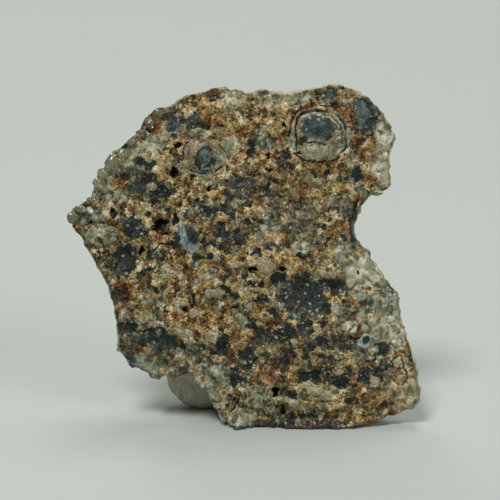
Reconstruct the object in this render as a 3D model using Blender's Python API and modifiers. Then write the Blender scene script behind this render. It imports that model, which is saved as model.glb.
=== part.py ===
"""A chalcedony rose: one grown stone, a rough crust plate in front with a rosette of smooth petals behind.

The stone stands on its lower rim and on the feet of its hind petals, leaning back a little.
Face coordinates are millimetres on the flat of the crust: u to the right, v up from the table line,
w out of the crust towards the front. The finished stone is in metres, +Z up, with its front towards -Y
and its origin under the middle of its box.
"""

import math
import random

import bmesh
import bpy
import numpy as np
from mathutils import Matrix, Vector, kdtree, noise

MM = 0.001
NODE_NAME = "chalcedony_rose"

LEAN_DEG = 12.0  # the crust leans back from upright
PLATE_THICKNESS = 4.0
GROWTH_STEP = 0.45  # voxel size that fuses plate and petals into one stone
SOFTENING_ROUNDS = 5
SOFTENING_FACTOR = 0.5
TRIANGLE_BUDGET = 9400
BALL_SEGMENTS = 32

FACE_TURN = (0.35, 0.8)  # a spot turned less than the first to the front is side, past the second face
FACE_DEPTH = (-3.0, -1.2)  # and so with its depth behind the face
SIDE_WIDTH = 1.3  # how soon the scalloped side fades as a spot turns to the front or back
RIM_GROWTH = 0.35  # gives the sides back what the softening takes
RIM_WIDTH = 4.2  # the face falls away over this width inside the outline
RIM_FALL = 1.7
RIM_ROUNDNESS = 1.6
SCALLOP_SPACING = 1.1
SCALLOP_RELIEF = 0.32
CRUST_GRAIN = 2.3  # spacing of the lumps on the rough face
CRUST_RELIEF = 0.75
SWELL_SPACING = 6.0  # the slow rise and fall of the whole face
SWELL_RELIEF = 0.5
PETAL_BUBBLE = 3.0  # spacing of the smooth bubbles on the petals
PETAL_RELIEF = 0.35
LUMP_FLATNESS = 1.6  # how broad a lump's top is between its valleys

# The outline of the crust, clockwise from its left tip, as (u, v).
UPPER_LEFT_RIM = [
    (-24.6, 29.8), (-24.4, 30.7), (-23.0, 31.7), (-21.1, 32.8), (-20.7, 33.6), (-21.1, 34.5),
    (-20.7, 35.5), (-19.6, 36.6), (-19.3, 37.9), (-18.8, 39.0), (-17.4, 39.4), (-16.8, 39.6),
    (-16.2, 40.8), (-14.6, 41.9), (-14.0, 43.3), (-12.7, 44.3), (-11.9, 45.2), (-10.2, 45.4),
]  # fmt: skip
TOP_RIM = [
    (-8.3, 46.4), (-6.6, 47.1), (-5.0, 47.5), (-3.8, 48.2), (-2.7, 47.8), (-1.0, 47.7),
    (0.1, 47.1), (0.7, 46.4), (1.6, 47.0), (2.5, 47.7), (3.8, 47.7), (4.6, 47.1),
    (6.4, 47.1), (8.3, 47.5), (10.5, 48.0), (12.7, 48.4), (14.3, 48.2), (16.1, 47.2),
]  # fmt: skip
UPPER_RIGHT_RIM = [
    (17.8, 46.1), (19.2, 44.9), (19.9, 43.2), (20.7, 42.3), (21.4, 41.2), (20.7, 39.7),
    (20.2, 37.6), (20.4, 35.6), (20.2, 34.0), (19.5, 33.1), (18.3, 33.4),
]  # fmt: skip
RIGHT_BITE = [
    (16.9, 32.5), (16.0, 31.1), (15.3, 29.5), (15.1, 27.6), (15.4, 26.4), (16.2, 25.7),
]  # fmt: skip
LOWER_RIGHT_RIM = [
    (17.4, 25.3), (17.6, 24.1), (18.2, 23.3), (19.2, 22.7), (19.6, 21.3), (20.4, 20.1),
    (21.3, 19.5), (21.7, 18.0), (22.0, 16.3), (22.7, 13.9), (23.5, 11.5), (24.2, 9.0),
    (24.6, 7.5), (24.4, 6.4), (24.8, 5.1), (24.3, 4.0), (23.0, 3.0), (21.4, 2.3),
]  # fmt: skip
LOWER_EDGE = [
    (19.2, 1.7), (16.7, 1.3), (13.6, 0.9), (10.8, 0.9), (8.3, 0.5), (5.9, 0.8),
    (4.1, 1.4), (1.7, 1.6), (0.0, 1.0), (-1.2, 0.9), (-2.4, 1.9), (-3.8, 3.3),
    (-4.2, 4.4), (-5.6, 5.8), (-6.7, 7.2), (-7.6, 8.6),
]  # fmt: skip
LEFT_LOBE_RIM = [
    (-9.1, 7.6), (-10.6, 7.2), (-12.2, 7.1), (-13.9, 7.6), (-15.5, 8.6), (-16.7, 10.2),
    (-17.2, 11.8), (-17.6, 13.8), (-17.6, 15.9), (-18.1, 18.0), (-18.8, 19.8), (-19.2, 21.2),
    (-20.2, 23.0), (-21.3, 25.0), (-22.3, 26.4), (-22.8, 27.8), (-23.9, 28.6),
]  # fmt: skip
OUTLINE = (
    UPPER_LEFT_RIM + TOP_RIM + UPPER_RIGHT_RIM + RIGHT_BITE + LOWER_RIGHT_RIM + LOWER_EDGE + LEFT_LOBE_RIM
)

ROSE_HEART = (0.0, 24.5)  # the petals behind the crust grow out of this (u, v)
# The solid heart and the feet, as (u, v, w) of the middle and the half sizes along u, v and w.
HEART_MASSES = [
    ((-1.5, 26.5, -3.4), (17.5, 16.0, 4.4)),
    ((7.0, 13.5, -3.4), (13.0, 11.0, 4.4)),
    ((8.0, 37.5, -3.0), (9.5, 8.0, 3.8)),
    ((0.0, 24.5, -6.5), (12.0, 12.0, 5.4)),
    ((2.0, 12.5, -7.5), (10.0, 9.0, 6.0)),
]
FEET = [
    ((7.4, 4.0, -3.9), (11.0, 4.4, 3.6)),
    ((-5.4, 8.6, -8.9), (6.4, 7.4, 3.0)),
    ((-2.9, 8.9, -12.2), (4.9, 7.4, 2.7)),
    ((10.6, 8.4, -8.8), (7.4, 7.2, 3.2)),
    ((7.8, 8.7, -12.4), (5.6, 7.2, 2.8)),
]
# Rings of petals, outermost first. Reach is the share of the way from the heart to the outline where a
# petal's middle lies, back is its depth behind the crust, and tilt is how far its tip rises from the crust.
PETAL_RINGS = [
    {"count": 10, "first_deg": 12, "reach": 0.60, "back": 4.6, "tilt_deg": 8, "width": 6.9, "length": 7.4},
    {"count": 8, "first_deg": 30, "reach": 0.42, "back": 7.8, "tilt_deg": 24, "width": 6.0, "length": 6.4},
    {"count": 6, "first_deg": 75, "reach": 0.25, "back": 10.4, "tilt_deg": 40, "width": 4.8, "length": 5.2},
    {"count": 4, "first_deg": 20, "reach": 0.09, "back": 12.2, "tilt_deg": 60, "width": 3.2, "length": 3.8},
]
PETAL_THICKNESS = 2.1
PETAL_SPREAD_DEG = 24  # the outline is searched this far to either side of a petal
PETAL_UNEVENNESS = 0.14
PETAL_DRIFT = 0.25  # a petal strays this share of the way to the next one in its ring
USUAL_REACH = 22.0  # a petal has its ring's own size where the outline is this far from the heart
LARGEST_PETAL = 1.15
PETAL_SEED = 5

# Ringed nodules on the crust: middle (u, v), half width, half height, height of the dome.
RINGED_NODULES = [
    (10.8, 41.4, 4.1, 3.6, 1.3),
    (-5.6, 38.0, 3.0, 2.9, 0.9),
    (-20.2, 27.4, 2.0, 1.8, 0.7),
    (3.2, 23.2, 1.8, 1.7, 0.7),
    (-4.6, 12.8, 2.0, 1.8, 0.8),
]
RING_RADII = [1.0, 0.74]  # grooves, as shares of a nodule's half size
RING_WIDTH = 0.1
RING_DEPTH = 0.6
NODULE_REACH = 1.4  # no ring is felt past this many half sizes
NODULE_SLOPE = (1.0, 0.35)  # a dome rises between these shares of its half size
NODULE_EDGE = (1.25, 0.95)  # the crust's own lumps fade away between these
# Smooth beads: middle (u, v), half width, half height, height.
BEAD_SLOPE = (1.15, 0.3)
BEADS = [
    (-7.8, 27.3, 1.2, 1.9, 0.6),
    (17.2, 12.5, 0.9, 0.9, 0.4),
    (18.5, 6.9, 1.0, 0.9, 0.4),
    (10.6, 5.4, 1.6, 1.2, 0.5),
    (-9.8, 14.2, 1.3, 1.2, 0.5),
    (6.0, 4.0, 1.0, 0.8, 0.5),
]
# Pits in the crust: middle (u, v), half width, half height, depth.
PIT_SLOPE = (1.2, 0.35)
PITS = [
    (-11.6, 29.5, 1.5, 1.1, 1.5), (-10.1, 36.2, 0.8, 0.9, 1.2), (4.9, 21.4, 1.1, 1.0, 1.2),
    (9.9, 7.4, 1.2, 0.9, 1.1), (14.0, 6.4, 1.2, 0.7, 1.0), (4.5, 5.3, 0.9, 0.9, 1.2),
    (7.0, 4.9, 0.9, 0.8, 1.0), (11.2, 12.7, 0.8, 0.8, 1.0), (18.6, 10.0, 0.9, 0.7, 0.9),
    (13.0, 20.3, 1.2, 1.0, 1.1), (-6.3, 42.5, 1.6, 0.6, 1.0), (8.0, 24.3, 0.8, 0.6, 0.9),
    (-13.4, 34.8, 1.3, 1.1, 0.9), (-11.2, 33.6, 1.3, 1.2, 0.9), (-15.8, 14.2, 1.4, 0.8, 1.0),
    (-11.3, 11.1, 0.9, 0.7, 0.9), (-3.1, 11.3, 1.4, 0.7, 1.0), (-16.6, 24.6, 1.3, 1.1, 0.7),
    (1.3, 22.6, 0.7, 0.7, 1.0), (5.6, 22.8, 0.7, 0.7, 0.9), (-2.9, 29.0, 1.0, 1.2, 0.7),
]  # fmt: skip
LEFT_HOLLOW = (-12.0, 10.0, 6.2, 5.0, 1.6)  # the smooth lower left lobe lies behind the face
HOLLOW_SLOPE = (1.0, 0.55)

OUTLINE_STEPS = 8  # points that stand for each stretch of the outline when its distance is measured
CURVE_STEPS = 3
STONE_COLOUR = (0.19, 0.16, 0.09, 1.0)
STONE_ROUGHNESS = 0.5


def outline_curve():
    """The crust's outline as a flat filled curve, as thick as the plate."""
    flat = bpy.data.curves.new("crust_outline", "CURVE")
    flat.dimensions = "2D"
    flat.fill_mode = "BOTH"
    flat.resolution_u = CURVE_STEPS
    flat.extrude = PLATE_THICKNESS / 2
    spline = flat.splines.new("BEZIER")
    spline.bezier_points.add(len(OUTLINE) - 1)
    for knot, (u, v) in zip(spline.bezier_points, OUTLINE):
        knot.co = (u, v, 0.0)
        knot.handle_left_type = knot.handle_right_type = "AUTO"
    spline.use_cyclic_u = True
    plate = bpy.data.objects.new("crust_plate", flat)
    bpy.context.scene.collection.objects.link(plate)
    plate.location = (0.0, 0.0, -PLATE_THICKNESS / 2)
    return plate


def ball(name, frame, half_sizes):
    """A ball drawn out along the three axes of its frame."""
    bpy.ops.mesh.primitive_uv_sphere_add(
        segments=BALL_SEGMENTS, ring_count=BALL_SEGMENTS // 2, radius=1.0
    )
    made = bpy.context.object
    made.name = name
    made.matrix_world = frame @ Matrix.Diagonal((*half_sizes, 1.0))
    return made


def outline_reach(angle):
    """The shortest way from the heart to the outline, near this direction."""
    found = []
    for u, v in OUTLINE:
        offset = Vector((u - ROSE_HEART[0], v - ROSE_HEART[1]))
        turn = math.atan2(offset.y, offset.x) - angle
        turn = abs(math.atan2(math.sin(turn), math.cos(turn)))
        if turn < math.radians(PETAL_SPREAD_DEG):
            found.append(offset.length)
    return min(found)


def petals():
    """Rings of tilted, flattened petals round the heart, each a little uneven."""
    chance = random.Random(PETAL_SEED)

    def uneven():
        return 1.0 + chance.uniform(-PETAL_UNEVENNESS, PETAL_UNEVENNESS)

    made = []
    for ring_number, ring in enumerate(PETAL_RINGS):
        for number in range(ring["count"]):
            drift = PETAL_DRIFT * (uneven() - 1.0) / PETAL_UNEVENNESS
            turn = (number + drift) / ring["count"]
            angle = math.radians(ring["first_deg"]) + 2.0 * math.pi * turn
            reach = outline_reach(angle)
            size = uneven() * min(LARGEST_PETAL, reach / USUAL_REACH)
            across = reach * ring["reach"] * uneven()
            heart = Vector((*ROSE_HEART, -ring["back"]))
            middle = heart + across * Vector((math.cos(angle), math.sin(angle), 0.0))
            tilt = math.radians(ring["tilt_deg"] * uneven())
            outward = Matrix.Rotation(angle, 4, "Z") @ Matrix.Rotation(tilt, 4, "Y")
            half_sizes = (ring["length"] * size, ring["width"] * size, PETAL_THICKNESS)
            name = f"petal_{ring_number}_{number}"
            made.append(ball(name, Matrix.Translation(middle) @ outward, half_sizes))
    return made


def fused_mesh(pieces):
    """All the pieces grown into one closed skin, in face coordinates."""
    bpy.context.view_layer.update()
    graph = bpy.context.evaluated_depsgraph_get()
    gathered = bmesh.new()
    for piece in pieces:
        shape = bpy.data.meshes.new_from_object(piece.evaluated_get(graph))
        shape.transform(piece.matrix_world)
        gathered.from_mesh(shape)
        bpy.data.meshes.remove(shape)
    bmesh.ops.remove_doubles(gathered, verts=gathered.verts, dist=1e-4)
    skin = bpy.data.meshes.new("fused")
    gathered.to_mesh(skin)
    gathered.free()
    for piece in pieces:
        bpy.data.objects.remove(piece)
    return evaluated_copy(skin, "VOXEL")


def evaluated_copy(shape, step):
    """The mesh after one modifier: VOXEL fuses it, and a number thins it to that share of its triangles."""
    holder = bpy.data.objects.new("holder", shape)
    bpy.context.scene.collection.objects.link(holder)
    if step == "VOXEL":
        remesh = holder.modifiers.new("grow_together", "REMESH")
        remesh.mode = "VOXEL"
        remesh.voxel_size = GROWTH_STEP
    else:
        thin = holder.modifiers.new("thin_out", "DECIMATE")
        thin.ratio = step
        thin.use_collapse_triangulate = True
    bpy.context.view_layer.update()
    graph = bpy.context.evaluated_depsgraph_get()
    made = bpy.data.meshes.new_from_object(holder.evaluated_get(graph))
    bpy.data.objects.remove(holder)
    return made


def outline_tree():
    """Finds the distance of any (u, v) from the outline."""
    tree = kdtree.KDTree(len(OUTLINE) * OUTLINE_STEPS)
    index = 0
    for start, end in zip(OUTLINE, OUTLINE[1:] + OUTLINE[:1]):
        for step in range(OUTLINE_STEPS):
            share = step / OUTLINE_STEPS
            spot = Vector((*start, 0.0)).lerp(Vector((*end, 0.0)), share)
            tree.insert(spot, index)
            index += 1
    tree.balance()
    return tree


def smooth_step(low, high, value):
    share = min(1.0, max(0.0, (value - low) / (high - low)))
    return share * share * (3.0 - 2.0 * share)


def oval_reach(u, v, oval):
    """Distance from an oval's middle, 1 on its edge."""
    return math.hypot((u - oval[0]) / oval[2], (v - oval[1]) / oval[3])


def lumps(place, spacing):
    """Rounded lumps with sharp valleys between them, from 0 in a valley to 1 on a lump."""
    distances, _ = noise.voronoi(place / spacing)
    return min(1.0, (distances[1] - distances[0]) * LUMP_FLATNESS)


def nodule_cover(u, v):
    """1 on a ringed nodule, where the crust's own lumps don't show, falling to 0 round it."""
    return max(smooth_step(*NODULE_EDGE, oval_reach(u, v, nodule)) for nodule in RINGED_NODULES)


def face_features(u, v):
    """Height that nodules, beads, pits and the left hollow give the rough face."""
    height = 0.0
    for nodule in RINGED_NODULES:
        reach = oval_reach(u, v, nodule)
        if reach > NODULE_REACH:
            continue
        height += nodule[4] * smooth_step(*NODULE_SLOPE, reach)
        for ring in RING_RADII:
            height -= RING_DEPTH * math.exp(-(((reach - ring) / RING_WIDTH) ** 2))
    for bead in BEADS:
        height += bead[4] * smooth_step(*BEAD_SLOPE, oval_reach(u, v, bead))
    for pit in PITS:
        height -= pit[4] * smooth_step(*PIT_SLOPE, oval_reach(u, v, pit))
    return height - LEFT_HOLLOW[4] * smooth_step(*HOLLOW_SLOPE, oval_reach(u, v, LEFT_HOLLOW))


def rim_drop(distance):
    """How far the face has fallen at this distance inside the outline."""
    return RIM_FALL * max(0.0, 1.0 - distance / RIM_WIDTH) ** RIM_ROUNDNESS


def weathered(skin):
    """Gives the smooth skin its crust, nodules, pits, scalloped rim and bubbled petals."""
    tree = outline_tree()
    shape = bmesh.new()
    shape.from_mesh(skin)
    for _ in range(SOFTENING_ROUNDS):
        bmesh.ops.smooth_vert(
            shape,
            verts=shape.verts,
            factor=SOFTENING_FACTOR,
            use_axis_x=True,
            use_axis_y=True,
            use_axis_z=True,
        )
    shape.normal_update()
    moves = []
    for corner in shape.verts:
        u, v, w = corner.co
        facing = corner.normal.z
        front = smooth_step(*FACE_TURN, facing) * smooth_step(*FACE_DEPTH, w)
        side = 1.0 - min(1.0, abs(facing) * SIDE_WIDTH)
        _, _, distance = tree.find(Vector((u, v, 0.0)))
        rough = front * (1.0 - nodule_cover(u, v))
        push = CRUST_RELIEF * rough * (lumps(corner.co, CRUST_GRAIN) - 0.5)
        push += SWELL_RELIEF * front * noise.noise(corner.co / SWELL_SPACING)
        push += PETAL_RELIEF * (1.0 - front) * (lumps(corner.co, PETAL_BUBBLE) - 0.5)
        push += side * (RIM_GROWTH + SCALLOP_RELIEF * noise.noise(corner.co / SCALLOP_SPACING))
        move = corner.normal * push
        move.z += front * (face_features(u, v) - rim_drop(distance))
        moves.append(move)
    for corner, move in zip(shape.verts, moves):
        corner.co += move
    shape.to_mesh(skin)
    shape.free()
    return skin


def stand_up(skin):
    """Turns face millimetres into the standing, leaning stone in metres."""
    upright = Matrix.Rotation(math.radians(90.0 - LEAN_DEG), 4, "X")
    skin.transform(Matrix.Scale(MM, 4) @ upright)


def cut_feet_flat(skin):
    """Cuts off what reaches below the table, so that the feet and lower rim rest on small flats."""
    shape = bmesh.new()
    shape.from_mesh(skin)
    everything = shape.verts[:] + shape.edges[:] + shape.faces[:]
    cut = bmesh.ops.bisect_plane(
        shape, geom=everything, dist=1e-7, plane_co=(0, 0, 0), plane_no=(0, 0, 1), clear_inner=True
    )
    rims = [part for part in cut["geom_cut"] if isinstance(part, bmesh.types.BMEdge)]
    bmesh.ops.holes_fill(shape, edges=rims, sides=0)
    bmesh.ops.triangulate(shape, faces=[face for face in shape.faces if len(face.verts) > 4])
    bmesh.ops.recalc_face_normals(shape, faces=shape.faces)
    shape.to_mesh(skin)
    shape.free()


def centre_over_origin(skin):
    """Puts the middle of the box over the origin."""
    corners = np.empty(len(skin.vertices) * 3, np.float32)
    skin.vertices.foreach_get("co", corners)
    corners = corners.reshape(-1, 3)
    middle = (corners.min(axis=0) + corners.max(axis=0)) / 2
    skin.transform(Matrix.Translation((-middle[0], -middle[1], 0.0)))


def stone_material():
    stone = bpy.data.materials.new("clay_stained_chalcedony")
    stone.use_nodes = True
    surface = stone.node_tree.nodes["Principled BSDF"]
    surface.inputs["Base Color"].default_value = STONE_COLOUR
    surface.inputs["Roughness"].default_value = STONE_ROUGHNESS
    surface.inputs["Metallic"].default_value = 0.0
    return stone


def main():
    for old in list(bpy.data.objects):
        bpy.data.objects.remove(old)
    pieces = [outline_curve()] + petals()
    for number, (middle, half_sizes) in enumerate(HEART_MASSES + FEET):
        pieces.append(ball(f"mass_{number}", Matrix.Translation(middle), half_sizes))
    skin = weathered(fused_mesh(pieces))
    skin.calc_loop_triangles()
    skin = evaluated_copy(skin, TRIANGLE_BUDGET / len(skin.loop_triangles))
    stand_up(skin)
    cut_feet_flat(skin)
    centre_over_origin(skin)
    skin.name = NODE_NAME
    skin.materials.append(stone_material())
    skin.shade_smooth()
    rose = bpy.data.objects.new(NODE_NAME, skin)
    family = bpy.data.collections.new("chalcedony_rose_specimen")
    bpy.context.scene.collection.children.link(family)
    family.objects.link(rose)


main()
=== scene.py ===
import math
import random
from functools import partial
from types import SimpleNamespace

import bmesh
import bpy
import numpy as np
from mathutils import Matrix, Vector, kdtree, noise


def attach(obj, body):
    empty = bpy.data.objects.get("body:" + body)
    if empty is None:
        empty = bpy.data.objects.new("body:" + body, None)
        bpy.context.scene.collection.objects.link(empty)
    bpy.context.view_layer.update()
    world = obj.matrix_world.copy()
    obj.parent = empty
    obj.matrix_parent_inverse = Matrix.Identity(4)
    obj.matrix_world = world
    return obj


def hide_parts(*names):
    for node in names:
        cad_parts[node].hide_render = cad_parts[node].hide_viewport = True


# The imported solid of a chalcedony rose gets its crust, its colours and its loose grains.
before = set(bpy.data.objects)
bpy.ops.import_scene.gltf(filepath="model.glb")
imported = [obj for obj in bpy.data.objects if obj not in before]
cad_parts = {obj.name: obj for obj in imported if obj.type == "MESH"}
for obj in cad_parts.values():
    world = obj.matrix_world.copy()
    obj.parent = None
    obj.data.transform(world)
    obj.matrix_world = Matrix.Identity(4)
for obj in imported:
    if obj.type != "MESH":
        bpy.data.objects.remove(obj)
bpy.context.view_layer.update()  # in metres, standing on the floor

mm = 0.001

# Places on the rough face are millimetres: u across, v up the face from the floor, w out towards the
# front. The face leans back.
stone = {
    "node": "chalcedony_rose",
    "slot": "chalcedony",
    "lean": math.radians(12.0),
    "middle": (0.054, 10.610),  # across and back from the foot of the face to the middle of the stone
}
lean = stone["lean"]
faceAxes = np.array([
    (1.0, 0.0, 0.0),
    (0.0, math.sin(lean), math.cos(lean)),
    (0.0, -math.cos(lean), math.sin(lean)),
])  # the directions of u, v and w


def fromFace(places):  # metres from (u, v, w)
    return (np.asarray(places) @ faceAxes - (*stone["middle"], 0.0)) * mm


def toFace(places):  # (u, v, w) from metres
    return (places / mm + (*stone["middle"], 0.0)) @ faceAxes.T


def onFace(u, v, w=0.0):
    return Vector(fromFace((u, v, w)))


def linear(code):  # sRGB hex to linear colour
    parts = [int(code[i:i + 2], 16) / 255 for i in (1, 3, 5)]
    return (*[p / 12.92 if p <= 0.04045 else ((p + 0.055) / 1.055) ** 2.4 for p in parts], 1.0)


def smoothStep(low, high, value):
    share = np.clip((value - low) / (high - low), 0.0, 1.0)
    return share * share * (3.0 - 2.0 * share)


def noiseAt(places, size, seed):  # about -1 to 1, in swells of this many millimetres
    return np.array([noise.noise(p) for p in (places / size + seed).tolist()])


def lumpsAt(places, size, seed=0.0):  # 0 in the valleys, 1 on the lumps between them
    found = [noise.voronoi(p)[0] for p in (places / size + seed).tolist()]
    return np.clip([(far - near) * 1.5 for near, far, _, _ in found], 0.0, 1.0)


def bitMiddles(places, size, seed):  # the middle of the angular bit that each corner belongs to
    found = [noise.voronoi(p)[1][0] for p in (places / size + seed).tolist()]
    return (np.array(found) - seed) * size


def readVectors(items, name):
    flat = np.empty(len(items) * 3, np.float32)
    items.foreach_get(name, flat)
    return flat.reshape(-1, 3).astype(float)


def addObject(name, data):
    made = bpy.data.objects.new(name, data)
    bpy.context.scene.collection.objects.link(made)
    return made


def addShape(name, shape):  # a smooth object from a finished bmesh
    mesh = bpy.data.meshes.new(name)
    shape.to_mesh(mesh)
    shape.free()
    mesh.shade_smooth()
    return addObject(name, mesh)


# The stone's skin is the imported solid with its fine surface.
skin = {
    "voxel": 0.56,  # mm, the even grid that the facets melt into
    "softening": (4, 5),  # rounds that take the facets away, before and after the front is cut finer
    "fineFacing": 0.35,  # what faces the front more than this gets a grid three times as fine
    "fineDepth": -4.0,
    "frontFacing": (0.25, 0.65),  # from here the crust shows, and here it is full
    "frontDepth": (-3.6, -1.6),
    "bubbleSize": 2.1,  # mm between the chalcedony's own bubbles, with the clay in their valleys
    "bubbleHeight": 0.26,
    "clodSize": 1.5,  # mm between the lumps of the clay crust
    "clodHeight": 0.30,
    "crumbSize": 0.85,
    "crumbHeight": 0.20,
    "gritSize": 0.5,
    "gritHeight": 0.14,
    "calmBubble": 1.0,  # mm between the low bubbles of the bare milky chalcedony
    "calmHeight": 0.06,
    "chip": 1.5,  # mm, the flat broken faces of the bare chalcedony
    "chipSlope": 0.42,  # how steep they are
    "toe": (1.0, 0.8),  # mm that the lowest edge hangs down and stands out in front
    "toeHigh": (2.6, 0.6),
    "toeEnds": (22.0, 18.0),
    "toeDepth": (-3.2, -1.2),
    "footShade": 1.15,  # mm, the height of the painted shade along the foot
    "swell": 0.10,  # mm that the rim stands out, to make up for the melting
    "lobeSwell": [((-15.0, 9.0, 4.5, 4.5), 0.55), ((23.5, 3.5, 2.5, 3.0), 0.35)],
    "rimBubble": 1.2,  # mm between the bubbles of the thin rim
    "rimHeight": 0.30,
    "petalBubble": 2.2,
    "petalHeight": 0.20,
    "clayHeight": 0.14,  # how far the clay stands above the bare chalcedony
    "smoothLobe": (-13.0, 8.6, 4.6, 2.8),  # the lower left lobe is melted smooth
    "lobeRounds": 6,
    "bit": 0.75,  # mm, the angular bits that the windows and rust spots are made of
    "angular": 0.6,  # how far an edge keeps to the borders of the bits
    "wander": [(1.4, 0.45), (0.5, 0.22)],  # mm between and size of the bends in every edge
    "clay": 0.39,  # how much clay there is, and how milky the stone is, where no ground is named
    "pale": 0.40,
    "clayPatches": [(2.6, 1.0, 5.0), (1.2, 0.5, 21.0), (5.5, 0.5, 35.0)],  # mm across, how strong, seed
    "milky": 0.62,  # ground as pale as this shows no stray windows
    "bare": (0.35, 0.28),  # ground paler than this with less clay than this is calm
    "shake": (0.9, 0.25),  # mm between and size of the shifts of the clods and chips
    "windowTone": 0.06,
    "windowDepth": 0.12,
    "noduleTone": 0.60,
    "ringDepth": 0.12,
    "beadTones": (0.57, 0.71),  # of small and of large ones
    "beadHeight": 0.3,  # as a share of its half width
    "holeDepth": 0.7,
    "grooveDepth": 0.25,
    "cavity": [(4, 0.24), (20, 0.9)],  # rounds of smoothing, and mm below the smooth skin that count as deep, for the painted shade in hollows and highlight on raised parts
}

# Spots on the face: u, v, half width and half height in mm, then a turn in degrees where there is one.
darkWindows = [
    (9.7, 42.3, 1.1, 1.1), (11.1, 42.5, 1.3, 1.3), (9.2, 43.2, 0.7, 0.5, 20), (12.0, 41.2, 0.5, 0.4),
    (10.6, 40.1, 0.35, 0.3), (8.2, 40.9, 0.5, 0.5), (-5.4, 38.9, 1.1, 0.9), (-4.6, 37.7, 0.8, 0.8),
    (-6.1, 37.5, 0.5, 0.6), (-13.2, 42.6, 0.45, 0.45), (-10.2, 42.6, 0.5, 0.5), (-14.7, 37.9, 0.7, 0.7),
    (-13.3, 37.3, 1.4, 0.55), (-13.4, 34.7, 1.3, 1.0), (-11.2, 33.5, 1.0, 1.1), (-12.3, 32.4, 0.8, 0.8),
    (-15.7, 30.0, 0.5, 0.5), (-13.9, 27.8, 0.45, 0.55), (-15.5, 28.1, 1.1, 1.25), (-9.4, 26.8, 0.7, 1.1),
    (-16.5, 24.3, 1.6, 1.5), (-19.0, 24.7, 0.85, 0.4), (-14.1, 22.2, 0.55, 0.3), (-12.0, 19.8, 0.55, 0.55),
    (-4.8, 30.9, 0.9, 0.65, 10), (-2.5, 31.4, 0.6, 0.6), (-1.5, 30.6, 0.4, 1.0), (0.7, 29.3, 0.4, 0.55),
    (-2.8, 27.8, 0.85, 1.5), (-0.8, 27.2, 0.7, 1.25), (-5.3, 26.7, 0.5, 0.6), (-4.2, 26.5, 0.5, 0.5),
    (-6.4, 24.4, 0.85, 0.55), (-4.6, 24.7, 0.5, 0.5), (2.4, 29.3, 0.55, 0.35), (4.8, 21.2, 1.0, 0.85),
    (1.0, 20.6, 0.7, 0.4), (-2.1, 19.5, 1.4, 0.5, -37), (-7.0, 18.4, 0.3, 1.1), (2.4, 18.3, 1.4, 0.5),
    (8.1, 24.4, 0.6, 0.4), (11.2, 28.6, 0.7, 0.4), (15.6, 29.3, 0.6, 3.0), (13.3, 20.2, 1.1, 0.9),
    (8.2, 20.4, 1.3, 1.1), (9.8, 19.2, 1.3, 1.3), (7.0, 18.8, 1.2, 0.9), (11.7, 17.2, 0.7, 1.0),
    (8.9, 17.9, 0.8, 0.7), (-15.7, 14.3, 1.0, 0.85), (-13.4, 13.8, 0.7, 0.4), (-10.4, 12.5, 1.2, 0.45, -35),
    (-2.9, 12.0, 0.7, 1.5, -20), (-4.3, 11.0, 0.6, 0.5), (3.9, 16.6, 0.9, 0.5), (1.3, 14.5, 1.3, 0.55, -45),
    (4.9, 13.8, 2.9, 0.75), (8.3, 16.0, 0.42, 0.55), (-0.8, 8.5, 0.55, 0.55), (0.7, 8.9, 0.5, 0.5),
    (0.4, 10.7, 1.0, 0.85), (5.9, 10.0, 0.7, 0.6), (9.7, 7.4, 1.1, 0.85), (7.0, 4.8, 0.85, 0.4),
    (11.1, 12.8, 0.75, 0.75), (19.6, 11.4, 0.85, 1.0), (17.1, 7.5, 1.1, 1.1), (19.3, 8.5, 0.95, 0.45),
    (14.0, 6.5, 1.0, 0.7), (14.6, 4.1, 0.55, 0.55), (1.9, 25.0, 0.7, 0.5), (3.5, 25.3, 0.5, 0.35),
    (1.1, 39.1, 0.55, 0.55), (5.9, 38.7, 0.6, 0.6), (16.0, 41.8, 0.5, 0.6), (10.5, 47.4, 0.4, 0.4),
    (16.7, 44.2, 1.7, 2.4), (9.7, 36.1, 0.4, 0.4), (11.8, 36.2, 0.4, 0.4), (16.0, 35.9, 0.7, 1.0),
    (-9.3, 43.0, 0.75, 0.7), (-7.1, 43.8, 1.15, 0.7, 30), (8.7, 14.9, 0.8, 0.6), (21.1, 3.4, 0.3, 0.3),
    (18.1, 3.0, 0.3, 0.3), (-11.6, 14.2, 0.6, 0.5),
]  # fmt: skip
holes = [
    (-9.9, 36.2, 0.5, 0.6), (7.7, 39.0, 0.42, 0.42), (6.3, 41.4, 0.35, 0.35), (-11.3, 29.3, 1.0, 0.7),
    (-11.9, 28.7, 0.6, 0.5), (18.6, 10.0, 0.5, 0.42), (16.1, 22.3, 0.25, 0.25), (-9.2, 29.6, 0.55, 0.55),
    (-8.8, 31.6, 0.4, 0.4), (1.4, 22.9, 0.42, 0.42), (5.6, 22.8, 0.42, 0.42), (-11.6, 11.3, 0.55, 0.55),
    (-1.5, 17.3, 0.55, 0.42), (4.5, 5.3, 0.55, 0.7), (-1.1, 4.3, 0.4, 0.5), (-11.2, 9.2, 0.55, 0.4),
    (-10.9, 16.9, 0.4, 0.3), (14.4, 35.6, 0.3, 0.25),
]  # fmt: skip
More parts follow.
